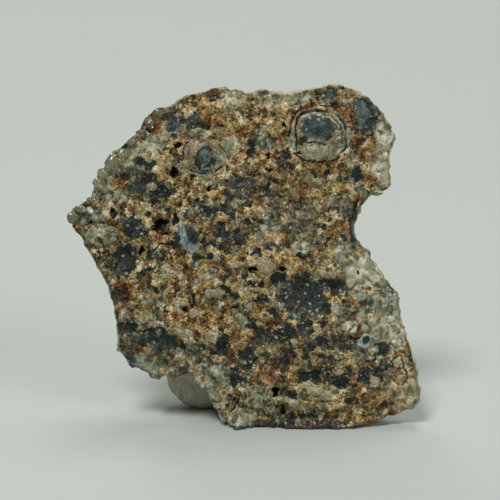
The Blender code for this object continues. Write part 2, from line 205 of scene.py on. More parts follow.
paleBeads = [
    (10.2, 5.6, 1.3, 0.8), (11.8, 4.8, 1.1, 0.8, 20), (9.0, 6.4, 0.9, 0.6), (12.9, 5.7, 0.9, 0.6),
    (3.2, 23.3, 1.4, 1.1), (-3.4, 7.6, 0.7, 0.7), (2.7, 34.9, 0.7, 0.6), (10.3, 39.1, 2.0, 1.0),
    (8.0, 43.0, 0.45, 0.4), (11.2, 44.1, 0.9, 0.3, -5), (13.4, 41.3, 0.9, 0.9), (-7.2, 39.4, 0.8, 1.2, 20),
    (-4.2, 40.4, 1.2, 0.5, -10), (-3.4, 36.6, 0.9, 0.4, 25), (-12.7, 34.1, 0.8, 0.55),
    (-14.8, 30.3, 0.6, 0.5), (-14.0, 30.7, 0.45, 0.4), (-19.0, 32.7, 0.7, 0.6), (-13.7, 19.4, 0.6, 0.5),
    (-10.6, 22.3, 1.25, 1.1), (-7.4, 30.7, 0.55, 0.7), (-0.3, 32.3, 0.85, 0.55), (-3.5, 32.1, 0.5, 0.4),
    (-1.3, 32.0, 0.28, 0.42), (-1.4, 29.2, 0.6, 0.5), (-3.2, 41.9, 0.5, 0.5), (-1.4, 42.1, 0.6, 0.4),
    (0.3, 36.9, 0.42, 0.7), (0.6, 35.6, 0.5, 0.15), (-2.9, 37.7, 0.55, 0.8), (-8.1, 37.3, 0.7, 0.55),
    (-7.8, 22.3, 0.3, 0.7), (-8.8, 23.3, 0.7, 0.28), (-3.9, 19.3, 1.4, 0.85), (-9.2, 18.0, 1.0, 0.55),
    (-0.4, 20.2, 0.6, 0.5), (10.5, 27.1, 0.55, 0.7), (12.2, 21.9, 1.4, 0.55), (11.5, 23.5, 0.6, 0.5),
    (-13.7, 16.0, 1.1, 0.85), (-8.4, 13.8, 1.1, 0.85), (-7.7, 12.1, 0.6, 0.5), (-9.1, 11.0, 0.55, 0.55),
    (-4.6, 13.1, 0.95, 0.95), (-3.9, 16.9, 0.6, 0.5), (-11.9, 13.5, 0.42, 0.55), (0.1, 15.6, 0.6, 0.5),
    (1.0, 17.3, 0.6, 0.5), (0.0, 9.6, 0.7, 0.42), (15.0, 14.6, 1.0, 1.1), (18.3, 11.1, 0.7, 0.42),
    (18.5, 6.9, 0.85, 0.85), (13.3, 9.3, 0.4, 0.35), (14.0, 9.6, 0.4, 0.4), (13.6, 8.3, 0.8, 0.5),
    (8.4, 9.3, 0.7, 0.55), (2.8, 7.5, 0.7, 0.55), (4.6, 7.8, 0.5, 0.63), (5.6, 4.4, 0.85, 0.55),
    (5.7, 6.4, 0.5, 0.5), (7.1, 3.7, 1.0, 0.7), (1.0, 5.8, 0.5, 0.4), (2.5, 4.8, 0.4, 0.4),
    (18.6, 3.7, 0.42, 0.7), (15.1, 41.2, 0.5, 0.5), (14.4, 35.6, 0.6, 0.5), (9.7, 34.5, 0.6, 0.4),
    (8.7, 35.9, 0.8, 0.6), (10.8, 35.1, 0.9, 0.6), (1.8, 24.6, 0.5, 0.35), (-1.8, 40.1, 1.4, 1.4),
    (-1.1, 46.4, 1.7, 1.5), (-6.9, 41.7, 0.6, 0.5), (-5.3, 41.2, 0.55, 0.5),
]  # fmt: skip
rustSpots = [
    (-12.0, 28.4, 1.3, 0.7), (-11.0, 30.3, 1.3, 0.4), (-12.3, 42.4, 0.85, 0.85), (-21.0, 28.4, 0.7, 0.5),
    (-18.6, 29.5, 0.4, 1.1, -35), (-11.2, 27.5, 1.2, 0.6), (-16.8, 20.1, 1.6, 1.6), (-16.5, 18.7, 0.6, 0.5),
    (-4.1, 41.1, 0.5, 0.5), (0.0, 41.8, 0.6, 0.5), (-2.1, 41.2, 0.6, 0.4), (4.6, 41.5, 0.9, 0.5),
    (4.8, 38.7, 0.8, 0.7), (15.0, 44.7, 0.6, 0.8), (15.8, 41.5, 0.6, 2.0), (16.8, 38.7, 0.7, 0.7),
    (18.2, 34.9, 1.3, 0.5), (12.2, 37.7, 2.1, 0.35), (14.3, 28.9, 0.4, 0.6), (14.7, 27.7, 0.5, 0.6),
    (17.9, 19.8, 1.3, 0.3, -15), (14.3, 18.1, 0.6, 0.5), (15.7, 17.9, 0.6, 0.5), (-15.8, 10.6, 0.42, 0.3),
    (-14.7, 11.3, 0.7, 1.0), (-8.4, 15.9, 0.6, 0.5), (-5.3, 15.3, 0.6, 0.5), (-1.8, 10.4, 0.8, 1.1),
    (3.9, 15.1, 1.0, 0.8), (3.2, 13.7, 0.5, 0.4), (7.1, 13.9, 0.56, 0.7), (1.0, 13.5, 0.6, 0.4),
    (3.8, 7.6, 1.5, 1.1), (5.2, 3.0, 0.7, 0.7), (17.8, 9.2, 0.6, 0.5), (16.4, 13.5, 0.6, 1.0),
    (22.4, 10.9, 1.1, 0.3), (15.7, 7.1, 0.35, 1.1, -25), (16.9, 4.7, 0.6, 0.6), (19.6, 3.7, 0.85, 0.42),
    (-2.5, 5.4, 0.5, 0.5), (1.4, 7.1, 0.5, 1.0), (-7.4, 22.3, 1.4, 1.0), (0.0, 28.8, 0.6, 0.5),
    (-17.1, 34.8, 1.3, 1.0), (-6.0, 44.2, 1.0, 0.6), (12.9, 46.1, 0.8, 0.3),
]  # fmt: skip
# Ringed nodules: an oval, then the dark rings' places as shares of it, and how dark the core is.
nodules = [
    ((10.8, 41.4, 4.4, 3.9), (), 0.0), ((-5.6, 38.3, 2.9, 2.9), (), 0.0),
    ((-19.9, 27.5, 2.5, 1.8), (0.95,), 0.1), ((-7.6, 27.1, 2.3, 1.3, -62), (), 0.0),
    ((17.2, 12.5, 0.85, 0.85), (1.25,), 1.0), ((12.3, 47.3, 0.7, 0.7), (1.1,), 0.6),
    ((-9.5, 41.5, 0.6, 0.6), (1.2,), 0.8), ((-6.2, 41.4, 0.5, 0.5), (1.2,), 0.8),
    ((13.2, 41.7, 0.5, 0.5), (1.0,), 0.4), ((8.1, 27.9, 0.4, 0.4), (1.3,), 0.5),
    ((13.7, 27.2, 0.6, 0.6), (1.2,), 0.9),
]  # fmt: skip
# Blue-grey glassy cores: an oval and its tone.
blueCores = [
    ((-7.7, 27.0, 2.2, 1.15, -62), 0.60), ((-7.2, 27.6, 1.5, 0.7, -62), 0.08),
    ((-8.8, 28.4, 0.3, 0.6), 0.35), ((10.4, 42.6, 2.3, 1.8), 0.20), ((17.2, 12.5, 0.95, 0.95), 0.72),
    ((17.3, 12.6, 0.5, 0.55), 0.08), ((-11.0, 12.9, 2.4, 0.6, -35), 0.20), ((-5.3, 38.4, 0.9, 1.2), 0.40),
    ((-5.2, 36.3, 2.1, 0.42), 0.44), ((-6.4, 41.6, 1.5, 0.40), 0.38), ((-8.1, 37.3, 0.6, 0.55), 0.60),
    ((-2.9, 38.1, 0.5, 0.7), 0.60), ((9.0, 41.4, 0.6, 0.6), 0.40), ((-9.2, 43.0, 0.7, 0.6), 0.30),
    ((-7.1, 43.8, 1.1, 0.6, 30), 0.26), ((12.3, 47.2, 0.7, 0.6), 0.3), ((16.6, 44.8, 1.2, 1.5), 0.42),
    ((16.4, 42.9, 0.7, 0.5), 0.34),
]  # fmt: skip
# Thin curved lines: half width in mm, then the points that the line runs through.
grooves = [
    (0.14, [(7.5, 39.4), (7.4, 41.3), (7.2, 42.4), (7.5, 43.6), (8.4, 44.5)]),
    (0.11, [(6.8, 39.8), (6.5, 41.4), (6.6, 43.0), (7.2, 44.4), (8.6, 45.4), (10.6, 45.7), (12.8, 45.4)]),
    (0.24, [(8.2, 44.4), (9.3, 44.9), (10.4, 44.9)]),
    (0.17, [
        (10.4, 44.9), (11.6, 44.9), (12.6, 44.7), (13.3, 44.3), (14.0, 43.4), (14.5, 42.2), (14.5, 40.8),
    ]),
    (0.12, [(14.5, 40.8), (14.3, 39.6), (13.3, 38.5)]),
    (0.09, [(11.2, 44.5), (12.2, 44.2), (13.1, 43.5), (13.7, 42.6), (13.9, 41.5), (13.8, 40.3)]),
    (0.08, [(11.9, 43.8), (12.9, 43.0), (13.3, 42.0)]),
    (0.15, [(7.2, 39.0), (8.4, 38.0), (10.4, 37.7), (12.4, 37.8), (13.6, 38.4)]),
    (0.10, [(7.9, 41.0), (8.8, 40.4), (10.2, 40.5), (11.4, 40.0), (12.4, 40.4)]),
    (0.34, [(-7.7, 42.4), (-6.4, 42.8), (-4.8, 42.5)]),
    (0.09, [(-8.5, 38.6), (-8.3, 39.9), (-7.4, 40.9)]),
    (0.11, [(-7.4, 36.5), (-6.2, 36.0), (-4.4, 36.0), (-3.1, 36.9)]),
    (0.08, [(-3.4, 40.2), (-2.6, 39.2)]),
    (0.16, [(15.0, 28.0), (15.3, 30.4), (16.2, 32.4)]),
    (0.12, [(17.4, 45.6), (18.4, 44.6), (18.9, 43.6)]),
    (0.10, [(-0.5, 5.0), (-0.7, 4.0), (-1.2, 3.0), (-1.9, 2.2)]),
    (0.14, [(6.2, 5.4), (7.0, 4.7), (7.9, 4.9)]),
    (0.08, [(21.0, 9.8), (21.6, 8.3), (21.2, 6.8), (22.3, 6.2), (23.2, 7.2), (22.8, 8.8), (21.6, 8.3)]),
    (0.08, [(22.8, 8.8), (22.4, 10.4), (21.0, 9.8)]),
    (0.15, [(-22.0, 29.0), (-20.8, 29.5), (-19.6, 29.2)]),
    (0.12, [(-12.6, 25.2), (-11.6, 26.3), (-10.4, 26.2)]),
    (0.14, [(-3.4, 12.0), (-2.6, 11.0), (-2.8, 13.6)]),
]
rustLines = [
    (0.26, [(6.6, 43.4), (7.3, 44.7), (8.7, 45.5), (10.4, 45.8)]),
    (0.30, [(12.9, 45.4), (14.2, 44.4), (15.2, 42.9)]),
    (0.22, [(10.6, 37.5), (12.0, 37.3), (13.6, 37.9), (14.6, 38.6)]),
    (0.20, [(-19.2, 30.2), (-18.4, 29.4), (-17.6, 28.4)]),
    (0.20, [(-20.3, 27.4), (-19.6, 26.0), (-18.6, 24.2)]),
    (0.10, [(16.6, 19.9), (17.8, 19.6), (19.1, 19.7)]),
    (0.13, [(21.0, 9.8), (21.6, 8.3), (21.2, 6.8), (22.3, 6.2), (23.2, 7.2), (22.8, 8.8), (21.6, 8.3)]),
    (0.13, [(22.8, 8.8), (22.4, 10.4), (21.0, 9.8), (19.9, 10.8)]),
    (0.18, [(14.6, 15.8), (15.9, 15.6), (16.3, 14.2), (15.9, 13.2), (14.4, 13.0)]),
    (0.18, [(15.3, 8.0), (15.9, 6.8), (16.6, 5.9)]),
    (0.20, [(3.6, 9.0), (4.4, 8.7), (5.6, 8.4), (5.8, 7.2), (4.8, 6.6)]),
    (0.18, [(-8.8, 23.4), (-7.6, 22.8), (-6.4, 21.6)]),
    (0.28, [(-2.7, 5.2), (-1.6, 4.8), (-0.6, 4.9)]),
    (0.24, [(14.9, 45.6), (15.7, 44.2), (16.1, 42.6), (16.2, 40.8), (15.9, 39.2)]),
]
agateLines = [
    (0.34, [(-7.0, 20.3), (-6.6, 21.4), (-5.6, 21.9), (-4.8, 21.6)]),
    (0.10, [(0.9, 7.8), (0.5, 5.6), (0.8, 3.0)]),
    (0.08, [(2.3, 6.4), (2.7, 4.2), (2.4, 1.8)]),
    (0.08, [(-2.2, 7.6), (-1.6, 6.2), (-1.7, 3.0)]),
    (0.16, [(-7.1, 36.2), (-5.4, 35.7), (-3.6, 36.2), (-3.0, 37.0)]),
    (0.10, [(19.9, 15.6), (21.0, 13.6), (21.6, 11.2)]),
    (0.10, [(20.6, 15.8), (21.7, 13.6), (22.3, 11.4)]),
    (0.10, [(21.2, 16.0), (22.3, 13.8), (22.9, 11.8)]),
    (0.14, [(-8.9, 30.6), (-8.7, 27.8), (-8.1, 25.8), (-6.8, 25.1)]),
    (0.16, [(-12.4, 25.2), (-11.6, 26.0), (-10.6, 25.6)]),
    (0.20, [(-7.9, 40.6), (-6.6, 41.0), (-5.2, 40.9)]),
    (0.18, [(-7.4, 36.3), (-5.4, 36.0), (-3.4, 36.4)]),
]
# The ground under the spots: an oval, the chalcedony's tone there (0 black, 1 milky) and how much clay
# lies on it. A later one covers an earlier one.
grounds = [
    (19.9, 13.5, 3.2, 10.5, 0.55, 0.12), (21.6, 14.0, 1.6, 6.0, 0.62, 0.08),
    (17.3, 22.0, 3.8, 3.0, 0.74, 0.08), (19.7, 38.7, 2.0, 4.6, 0.78, 0.06),
    (6.0, 46.4, 3.6, 1.7, 0.60, 0.08), (-22.3, 30.3, 2.4, 1.6, 0.42, 0.15),
    (-20.0, 35.5, 1.8, 2.0, 0.70, 0.10), (-17.5, 38.0, 2.0, 1.8, 0.62, 0.10),
    (-15.0, 39.6, 1.5, 1.7, 0.55, 0.15), (-11.6, 43.9, 3.4, 1.6, 30, 0.57, 0.30),
    (-13.7, 12.1, 3.1, 1.6, 0.36, 0.06), (-12.7, 8.9, 4.0, 2.2, 0.41, 0.06),
    (-4.9, 5.8, 3.1, 4.4, 0.57, 0.14), (2.1, 3.3, 2.8, 2.0, 0.50, 0.25), (2.9, 29.2, 1.0, 1.8, 0.55, 0.20),
    (3.6, 11.2, 1.1, 1.3, 0.58, 0.20), (8.1, 27.2, 1.4, 3.0, 0.58, 0.20),
    (12.9, 31.7, 2.5, 1.7, 0.45, 0.20), (14.3, 25.1, 1.9, 2.0, 0.50, 0.25),
    (2.9, 40.8, 1.5, 2.0, 0.45, 0.25), (22.8, 5.5, 2.2, 3.9, 0.72, 0.12),
    (14.3, 16.3, 2.0, 2.0, 0.45, 0.30), (5.8, 34.0, 2.0, 1.7, 0.28, 0.22),
    (-14.1, 35.9, 1.8, 1.5, 0.10, 0.10), (-11.3, 33.5, 1.5, 1.5, 0.10, 0.10),
    (-15.5, 28.2, 1.8, 1.5, 0.12, 0.10), (-16.9, 24.0, 2.0, 1.7, 0.08, 0.10),
    (-9.2, 43.6, 1.5, 1.2, 0.15, 0.20), (-2.5, 27.9, 2.8, 2.0, 0.30, 0.42),
    (8.0, 19.8, 4.2, 2.8, -20, 0.08, 0.08), (3.8, 14.2, 3.4, 2.0, 0.18, 0.20),
    (2.9, 17.3, 1.9, 1.5, 0.60, 0.70), (-11.3, 12.5, 2.8, 1.4, -25, 0.10, 0.10),
    (-15.5, 13.9, 1.7, 1.4, 0.34, 0.15), (17.5, 44.7, 1.8, 2.5, 0.32, 0.10),
    (12.5, 20.5, 1.4, 1.4, 0.32, 0.30), (18.5, 7.9, 2.0, 1.7, 0.20, 0.25),
    (10.8, 7.2, 1.8, 1.6, 0.15, 0.30), (-4.6, 31.0, 1.6, 1.1, 0.36, 0.35),
    (12.4, 12.3, 3.2, 2.0, 0.30, 0.16), (1.0, 11.4, 2.2, 1.7, 0.15, 0.20),
    (15.7, 35.9, 1.4, 1.4, 0.46, 0.35), (-10.9, 39.4, 2.6, 2.8, 0.56, 0.85),
    (9.4, 35.3, 4.2, 2.2, 0.76, 0.90), (11.9, 29.3, 2.6, 1.4, 0.50, 0.80),
    (-16.8, 20.2, 2.0, 2.0, 0.06, 0.45), (-10.9, 22.3, 2.8, 2.0, 0.50, 0.80),
    (-6.7, 15.6, 4.2, 2.1, 0.45, 0.75), (-1.1, 12.8, 2.0, 2.0, 0.40, 0.70),
    (12.2, 5.1, 3.0, 1.5, 0.74, 0.45), (-1.5, 40.1, 2.0, 2.0, 0.76, 0.75),
    (-3.6, 41.0, 1.6, 1.4, 0.84, 0.75), (-0.4, 45.7, 2.6, 1.6, 0.66, 0.70),
    (5.2, 42.5, 1.7, 2.0, 0.50, 0.75), (1.7, 31.7, 2.8, 2.0, 0.45, 0.70), (16.8, 1.5, 2.2, 1.2, 0.78, 0.80),
    (-12.3, 31.0, 3.5, 1.7, 0.45, 0.70), (-8.5, 34.2, 3.6, 1.7, 0.80, 0.60),
    (-13.4, 40.0, 3.6, 1.9, 35, 0.58, 0.20), (-0.4, 34.3, 2.2, 2.0, 0.10, 0.10),
    (2.8, 34.4, 2.2, 1.8, 0.24, 0.28), (7.2, 30.4, 4.2, 3.0, 0.38, 0.22), (1.2, 3.8, 2.8, 2.4, 0.50, 0.10),
    # The dark grounds low along the foot, at (5.0, 1.6), (11.0, 0.9) and (13.2, 0.6), are painted shade
    # under the stone's lower edge.
    (-3.5, 5.0, 2.4, 2.6, 0.55, 0.08), (9.4, 10.5, 2.0, 1.6, 0.20, 0.18), (5.0, 1.6, 4.0, 1.0, 0.18, 0.20),
    (11.0, 0.9, 4.2, 1.3, 0.10, 0.15), (3.0, 23.7, 2.2, 1.6, 0.64, 0.60),
    (-0.4, 47.4, 1.6, 0.9, 0.40, 0.45), (-7.1, 40.9, 1.6, 1.4, 0.40, 0.50),
    (-7.2, 37.2, 1.8, 1.5, 0.66, 0.50), (-3.8, 37.4, 1.4, 1.3, 0.68, 0.50),
    (-6.8, 34.0, 1.6, 1.3, 0.88, 0.80), (-3.9, 44.4, 1.8, 1.5, 0.90, 0.90),
    (5.9, 44.0, 1.5, 1.6, 0.74, 0.85), (-0.6, 23.8, 1.6, 1.4, 0.46, 0.60),
    (-0.4, 20.6, 1.7, 1.4, 0.52, 0.60), (17.0, 38.6, 1.6, 3.6, 0.50, 0.35),
    (16.8, 33.6, 1.6, 1.6, 0.62, 0.40), (16.4, 17.3, 2.0, 1.7, 0.36, 0.20),
    (-7.2, 45.4, 1.8, 1.2, 20, 0.50, 0.60), (2.9, 43.9, 1.4, 1.2, 0.34, 0.40),
    (-12.4, 37.7, 2.7, 1.6, 0.70, 0.45), (-3.4, 34.4, 1.5, 1.4, 0.64, 0.60),
    (-13.8, 34.2, 2.0, 1.6, 0.12, 0.12), (-10.6, 26.9, 1.8, 1.4, 0.78, 0.85),
    (3.2, 27.0, 1.5, 1.5, 0.58, 0.40), (-10.7, 24.4, 1.5, 1.1, 0.30, 0.45),
    (6.3, 24.0, 2.0, 1.7, 0.68, 0.65), (2.9, 20.8, 1.9, 1.5, 0.60, 0.62),
    (-14.3, 17.2, 1.6, 1.5, 0.56, 0.60), (6.4, 12.6, 1.4, 1.0, 0.42, 0.40),
    (13.0, 7.4, 1.8, 1.4, 0.04, 0.14), (16.4, 7.0, 1.6, 1.5, 0.20, 0.24), (9.6, 7.0, 1.6, 1.4, 0.10, 0.20),
    (12.9, 3.8, 1.9, 1.2, 0.80, 0.50), (-0.6, 1.6, 2.2, 1.2, 0.56, 0.08), (-0.4, 3.8, 1.6, 1.5, 0.38, 0.26),
    (-3.8, 20.4, 1.4, 1.3, 0.30, 0.50), (13.2, 0.6, 2.2, 1.0, 0.05, 0.10),
    (2.9, 37.6, 1.6, 1.4, 0.66, 0.70), (-17.4, 27.6, 1.3, 1.3, 0.68, 0.60),
    (-20.6, 27.4, 1.6, 1.5, 0.66, 0.20), (-14.0, 14.2, 1.4, 1.1, 0.60, 0.30),
    (-10.6, 14.5, 1.5, 1.0, 0.62, 0.60), (2.9, 10.4, 1.2, 1.1, 0.52, 0.40),
    (19.6, 3.8, 1.6, 1.3, 0.68, 0.35), (15.6, 14.8, 2.0, 1.6, 0.54, 0.16),
    (13.2, 10.6, 2.2, 1.6, 0.26, 0.16), (16.4, 10.2, 1.7, 1.8, 0.34, 0.20),
    (-12.2, 10.6, 3.0, 1.5, 0.26, 0.06), (-7.0, 10.8, 1.5, 1.3, 0.42, 0.15),
    (-3.9, 10.8, 1.5, 1.3, 0.14, 0.36), (13.2, 34.2, 1.5, 1.3, 0.10, 0.35),
    (2.4, 47.3, 1.8, 1.3, 0.42, 0.20), (6.2, 10.6, 1.6, 1.3, 0.28, 0.30), (8.6, 17.3, 3.0, 1.7, 0.10, 0.10),
    (19.8, 17.6, 1.7, 1.7, 0.44, 0.12), (-0.4, 7.4, 1.6, 1.3, 0.26, 0.40), (2.9, 7.2, 1.6, 1.3, 0.30, 0.45),
    (-13.6, 24.2, 1.7, 2.0, 0.20, 0.40), (-7.0, 20.6, 1.4, 1.3, 0.38, 0.60),
    (-11.2, 33.6, 1.4, 1.4, 0.12, 0.12), (19.6, 9.0, 1.9, 2.6, 0.28, 0.18),
    (16.2, 0.7, 1.8, 0.9, 0.60, 0.60), (9.6, 34.2, 1.8, 1.4, 0.95, 0.95), (2.8, 37.6, 1.6, 1.4, 0.74, 0.75),
]  # fmt: skip
# Wide brown stains of the bare stone: an oval and how strong.
stains = [
    ((12.5, 9.0, 7.0, 5.0), 0.5), ((9.5, 30.4, 6.0, 3.6), 0.85), ((-1.0, 4.0, 3.0, 2.5), 0.6),
    ((2.0, 10.5, 4.5, 2.2), 0.6), ((3.0, 36.0, 6.5, 3.6), 0.8), ((13.0, 20.7, 2.2, 2.2), 0.8),
    ((18.5, 3.4, 5.5, 2.6), 0.8), ((-7.0, 39.5, 3.0, 2.5), 0.6), ((3.0, 24.0, 3.0, 2.0), 0.4),
    ((3.0, 45.5, 4.0, 2.0), 0.5), ((6.0, 17.0, 2.0, 1.5), 0.5), ((22.5, 7.0, 2.0, 2.4), 0.6),
]  # fmt: skip
# Wide bluish parts of the bare stone: an oval and how strong.
tints = [
    ((-14.0, 11.4, 4.2, 3.2), 0.48), ((-5.0, 8.0, 3.0, 2.5), 0.35), ((8.0, 19.0, 4.5, 3.2), 0.5),
    ((16.9, 44.5, 2.0, 2.7), 0.55),
]  # fmt: skip
strays = {  # small windows, beads, holes and rust spots that fill the face between the others
    "seed": 11,
    "tries": 5200,
    "count": 800,
    "across": (-25.0, 25.0),
    "up": (0.0, 49.0),
    "sizes": (0.2, 0.62),  # mm, half width
    "gap": 0.16,
    "kinds": {"dark": 0.32, "pale": 0.24, "hole": 0.08, "rust": 0.36},
    "fade": 0.8,  # how much they fade on the calm ground
}


def meltedCopy():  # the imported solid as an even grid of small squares
    source = bmesh.new()
    source.from_mesh(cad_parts[stone["node"]].data)
    bmesh.ops.remove_doubles(source, verts=source.verts, dist=0.001 * mm)
    mesh = bpy.data.meshes.new("rose_skin")
    source.to_mesh(mesh)
    source.free()
    holder = addObject("holder", mesh)
    melt = holder.modifiers.new("melt", "REMESH")
    melt.mode = "VOXEL"
    melt.voxel_size = skin["voxel"] * mm
    bpy.context.view_layer.update()
    graph = bpy.context.evaluated_depsgraph_get()
    melted = bpy.data.meshes.new_from_object(holder.evaluated_get(graph))
    bpy.data.objects.remove(holder)
    return melted


def soften(shape, rounds, chosen=None):
    for _ in range(rounds):
        bmesh.ops.smooth_vert(
            shape, verts=chosen or shape.verts, factor=0.5, use_axis_x=True, use_axis_y=True, use_axis_z=True
        )


def refined(mesh):  # softened, and cut finer where it faces the front
    shape = bmesh.new()
    shape.from_mesh(mesh)
    before, after = skin["softening"]
    soften(shape, before)
    shape.normal_update()
    front = Vector(faceAxes[2])
    deepest = onFace(0, 0, skin["fineDepth"]).dot(front)
    fine = [
        face for face in shape.faces
        if face.normal.dot(front) > skin["fineFacing"] and face.calc_center_median().dot(front) > deepest
    ]
    edges = list({edge for face in fine for edge in face.edges})
    bmesh.ops.subdivide_edges(shape, edges=edges, cuts=2, use_grid_fill=True)
    soften(shape, after)
    bmesh.ops.triangulate(shape, faces=[face for face in shape.faces if len(face.verts) > 4])
    shape.to_mesh(mesh)
    shape.free()
    return mesh


def rimDistances(places, normals):  # mm from each corner to the stone's edge, seen from the front
    edge = (np.abs(normals[:, 2]) < 0.2) & (places[:, 2] > skin["fineDepth"])
    spots = places[edge][:, :2]
    tree = kdtree.KDTree(len(spots))
    for index, (u, v) in enumerate(spots):
        tree.insert((u, v, 0.0), index)
    tree.balance()
    return np.array([tree.find((u, v, 0.0))[2] for u, v in places[:, :2]])


def ovalReach(spots, oval, most=1.6):  # which spots are near an oval, and how far out: 1 on its edge
    u, v, halfWide, halfHigh, *turned = oval
    widest = most * max(halfWide, halfHigh)
    near = np.flatnonzero((np.abs(spots[:, 0] - u) < widest) & (np.abs(spots[:, 1] - v) < widest))
    across, up = (spots[near] - (u, v)).T
    turn = math.radians(sum(turned))
    along = (across * math.cos(turn) + up * math.sin(turn)) / halfWide
    off = (up * math.cos(turn) - across * math.sin(turn)) / halfHigh
    return near, np.hypot(along, off)


def lineReach(spots, line):  # the same for a line: 1 at its half width
    width, points = line
    points = np.array(points)
    low, high = points.min(0) - 3.0 * width, points.max(0) + 3.0 * width
    near = np.flatnonzero(((spots > low) & (spots < high)).all(axis=1))
    reach = np.full(len(near), 9.0)
    for start, end in zip(points[:-1], points[1:]):
        along = end - start
        share = np.clip((spots[near] - start) @ along / (along @ along), 0.0, 1.0)
        gap = spots[near] - start - share[:, None] * along
        reach = np.minimum(reach, np.hypot(*gap.T) / width)
    return near, reach


def straySpots(taken):  # seeded spots that keep clear of the taken ones and of each other
    chance = random.Random(strays["seed"])
    taken = [(u, v, max(halfWide, halfHigh)) for u, v, halfWide, halfHigh, *_ in taken]
    kinds = list(strays["kinds"])
    shares = list(strays["kinds"].values())
    made = {kind: [] for kind in kinds}
    count = 0
    for _ in range(strays["tries"]):
        u = chance.uniform(*strays["across"])
        v = chance.uniform(*strays["up"])
        low, high = strays["sizes"]
        size = low + (high - low) * chance.random() ** 1.7
        shape = chance.uniform(0.6, 1.0)
        turn = chance.uniform(0, 180)
        kind = chance.choices(kinds, shares)[0]
        clear = all(math.hypot(u - a, v - b) > size + r * 0.9 + strays["gap"] for a, b, r in taken)
        if clear and count < strays["count"]:
            taken.append((u, v, size))
            made[kind].append((u, v, size, size * shape, turn))
            count += 1
    return made


def cover(field, near, amount):  # no less than this amount there
    field[near] = np.maximum(field[near], amount)


def turnTo(field, near, target, share):  # nearer to the target by this share
    field[near] += (target - field[near]) * share


def bareFace(places, normals):  # where each corner lies, and the fields that the spots are drawn on
    on = SimpleNamespace(places=places)
    facing = normals[:, 2]
    on.front = smoothStep(*skin["frontFacing"], facing) * smoothStep(*skin["frontDepth"], places[:, 2])
    on.side = 1.0 - np.clip(np.abs(facing) * 1.3, 0.0, 1.0)
    on.rim = rimDistances(places, normals)
    on.straight = places[:, :2].copy()
    on.straight[on.front < 0.02] = 1e3  # nothing of the face is drawn on the sides and back
    on.wavy = on.straight.copy()
    for size, far in skin["wander"]:
        on.wavy += far * np.stack([noiseAt(places, size, seed) for seed in (3.0, 9.0)], axis=1)
    on.angular = on.wavy + skin["angular"] * (bitMiddles(places, skin["bit"], 33.0) - places)[:, :2]
    size, far = skin["shake"]
    on.shaken = places + far * np.stack([noiseAt(places, size, seed) for seed in (2.0, 6.0, 12.0)], axis=1)
    on.calm = np.zeros(len(places))  # where bare chalcedony shows few spots
    on.sure = np.zeros(len(places))  # where the ground is named
    on.light = np.zeros(len(places))  # where no stray window shows
    on.quiet = np.zeros(len(places))  # where the crust's own lumps don't show
    on.hollow = np.zeros(len(places))
    on.ring = np.zeros(len(places))
    on.rise = np.zeros(len(places))  # mm that each corner rises
    return on


def layGround(on):  # how milky the stone is, and the clay, rust and cream that lie on it
    places, front = on.places, on.front
    on.clay = np.full(len(places), skin["clay"])
    on.pale = np.full(len(places), skin["pale"])
    palest, clayey = skin["bare"]
    for *oval, tone, amount in grounds:
        near, reach = ovalReach(on.angular, oval)
        inside = 0.85 * smoothStep(1.4, 0.6, reach)
        turnTo(on.clay, near, amount, inside)
        turnTo(on.pale, near, tone, inside)
        cover(on.sure, near, inside)
        isBare = tone > palest and amount < clayey
        for field, shows in ((on.light, tone >= skin["milky"]), (on.calm, isBare)):
            field[near] = np.maximum(field[near] * (1.0 - inside), inside if shows else 0.0)
    on.bubbles = lumpsAt(places, skin["bubbleSize"], 15.0)
    patches = sum(strength * noiseAt(places, size, seed) for size, strength, seed in skin["clayPatches"])
    on.clay += (1.0 - 0.6 * on.sure) * (0.25 * patches + 0.30 * (0.5 - on.bubbles))
    on.pale += (1.0 - 0.5 * on.sure) * 0.18 * noiseAt(places, 3.0, 13.0)
    on.blue = (0.22 + 0.3 * smoothStep(0.3, 0.1, on.pale) + 0.25 * noiseAt(places, 3.2, 61.0)) * front
    on.clay = on.clay * front + (1.0 - front) * (0.18 + 0.4 * noiseAt(places, 4.0, 31.0))
    on.pale = on.pale * front + (1.0 - front) * (0.64 + 0.24 * noiseAt(places, 4.0, 17.0))
    on.rust = 0.35 * smoothStep(0.05, 0.6, noiseAt(places, 1.6, 41.0)) * front * (1.0 - 0.6 * on.calm)
    on.cream = 0.7 * smoothStep(0.05, 0.5, noiseAt(places, 2.0, 51.0)) * front
    on.stain = 0.25 * front * (1.0 - 0.7 * on.calm)
    for oval, amount in stains:
        near, reach = ovalReach(on.wavy, oval)
        inside = amount * smoothStep(1.35, 0.6, reach)
        cover(on.stain, near, inside)
        on.blue[near] *= 1.0 - inside
    for oval, amount in tints:
        near, reach = ovalReach(on.wavy, oval)
        cover(on.blue, near, amount * smoothStep(1.3, 0.7, reach))


def drawNodules(on):  # smooth ovals in the crust, with rings pressed into them
    for oval, rings, core in nodules:
        bent = 1.0 if oval[2] < 1.5 else 0.4  # small nodules are the least round
        near, reach = ovalReach(on.straight * (1.0 - bent) + on.wavy * bent, oval)
        inside = smoothStep(1.1, 0.9, reach)
        middle = smoothStep(0.75, 0.45, reach)
        turnTo(on.clay, near, 0.0, 0.75 * inside)
        turnTo(on.pale, near, skin["noduleTone"] - 0.50 * core * middle, inside)
        cover(on.blue, near, core * middle)
        cover(on.quiet, near, 0.5 * inside)
        width = max(0.04, 0.13 / min(oval[2], oval[3]))
        for place in rings:
            groove = np.exp(-(((reach - place) / width) ** 2))
            groove *= smoothStep(-0.5, 0.2, noiseAt(on.places[near], 1.1, 81.0))
            cover(on.ring, near, 0.75 * groove)
            on.rise[near] -= skin["ringDepth"] * groove


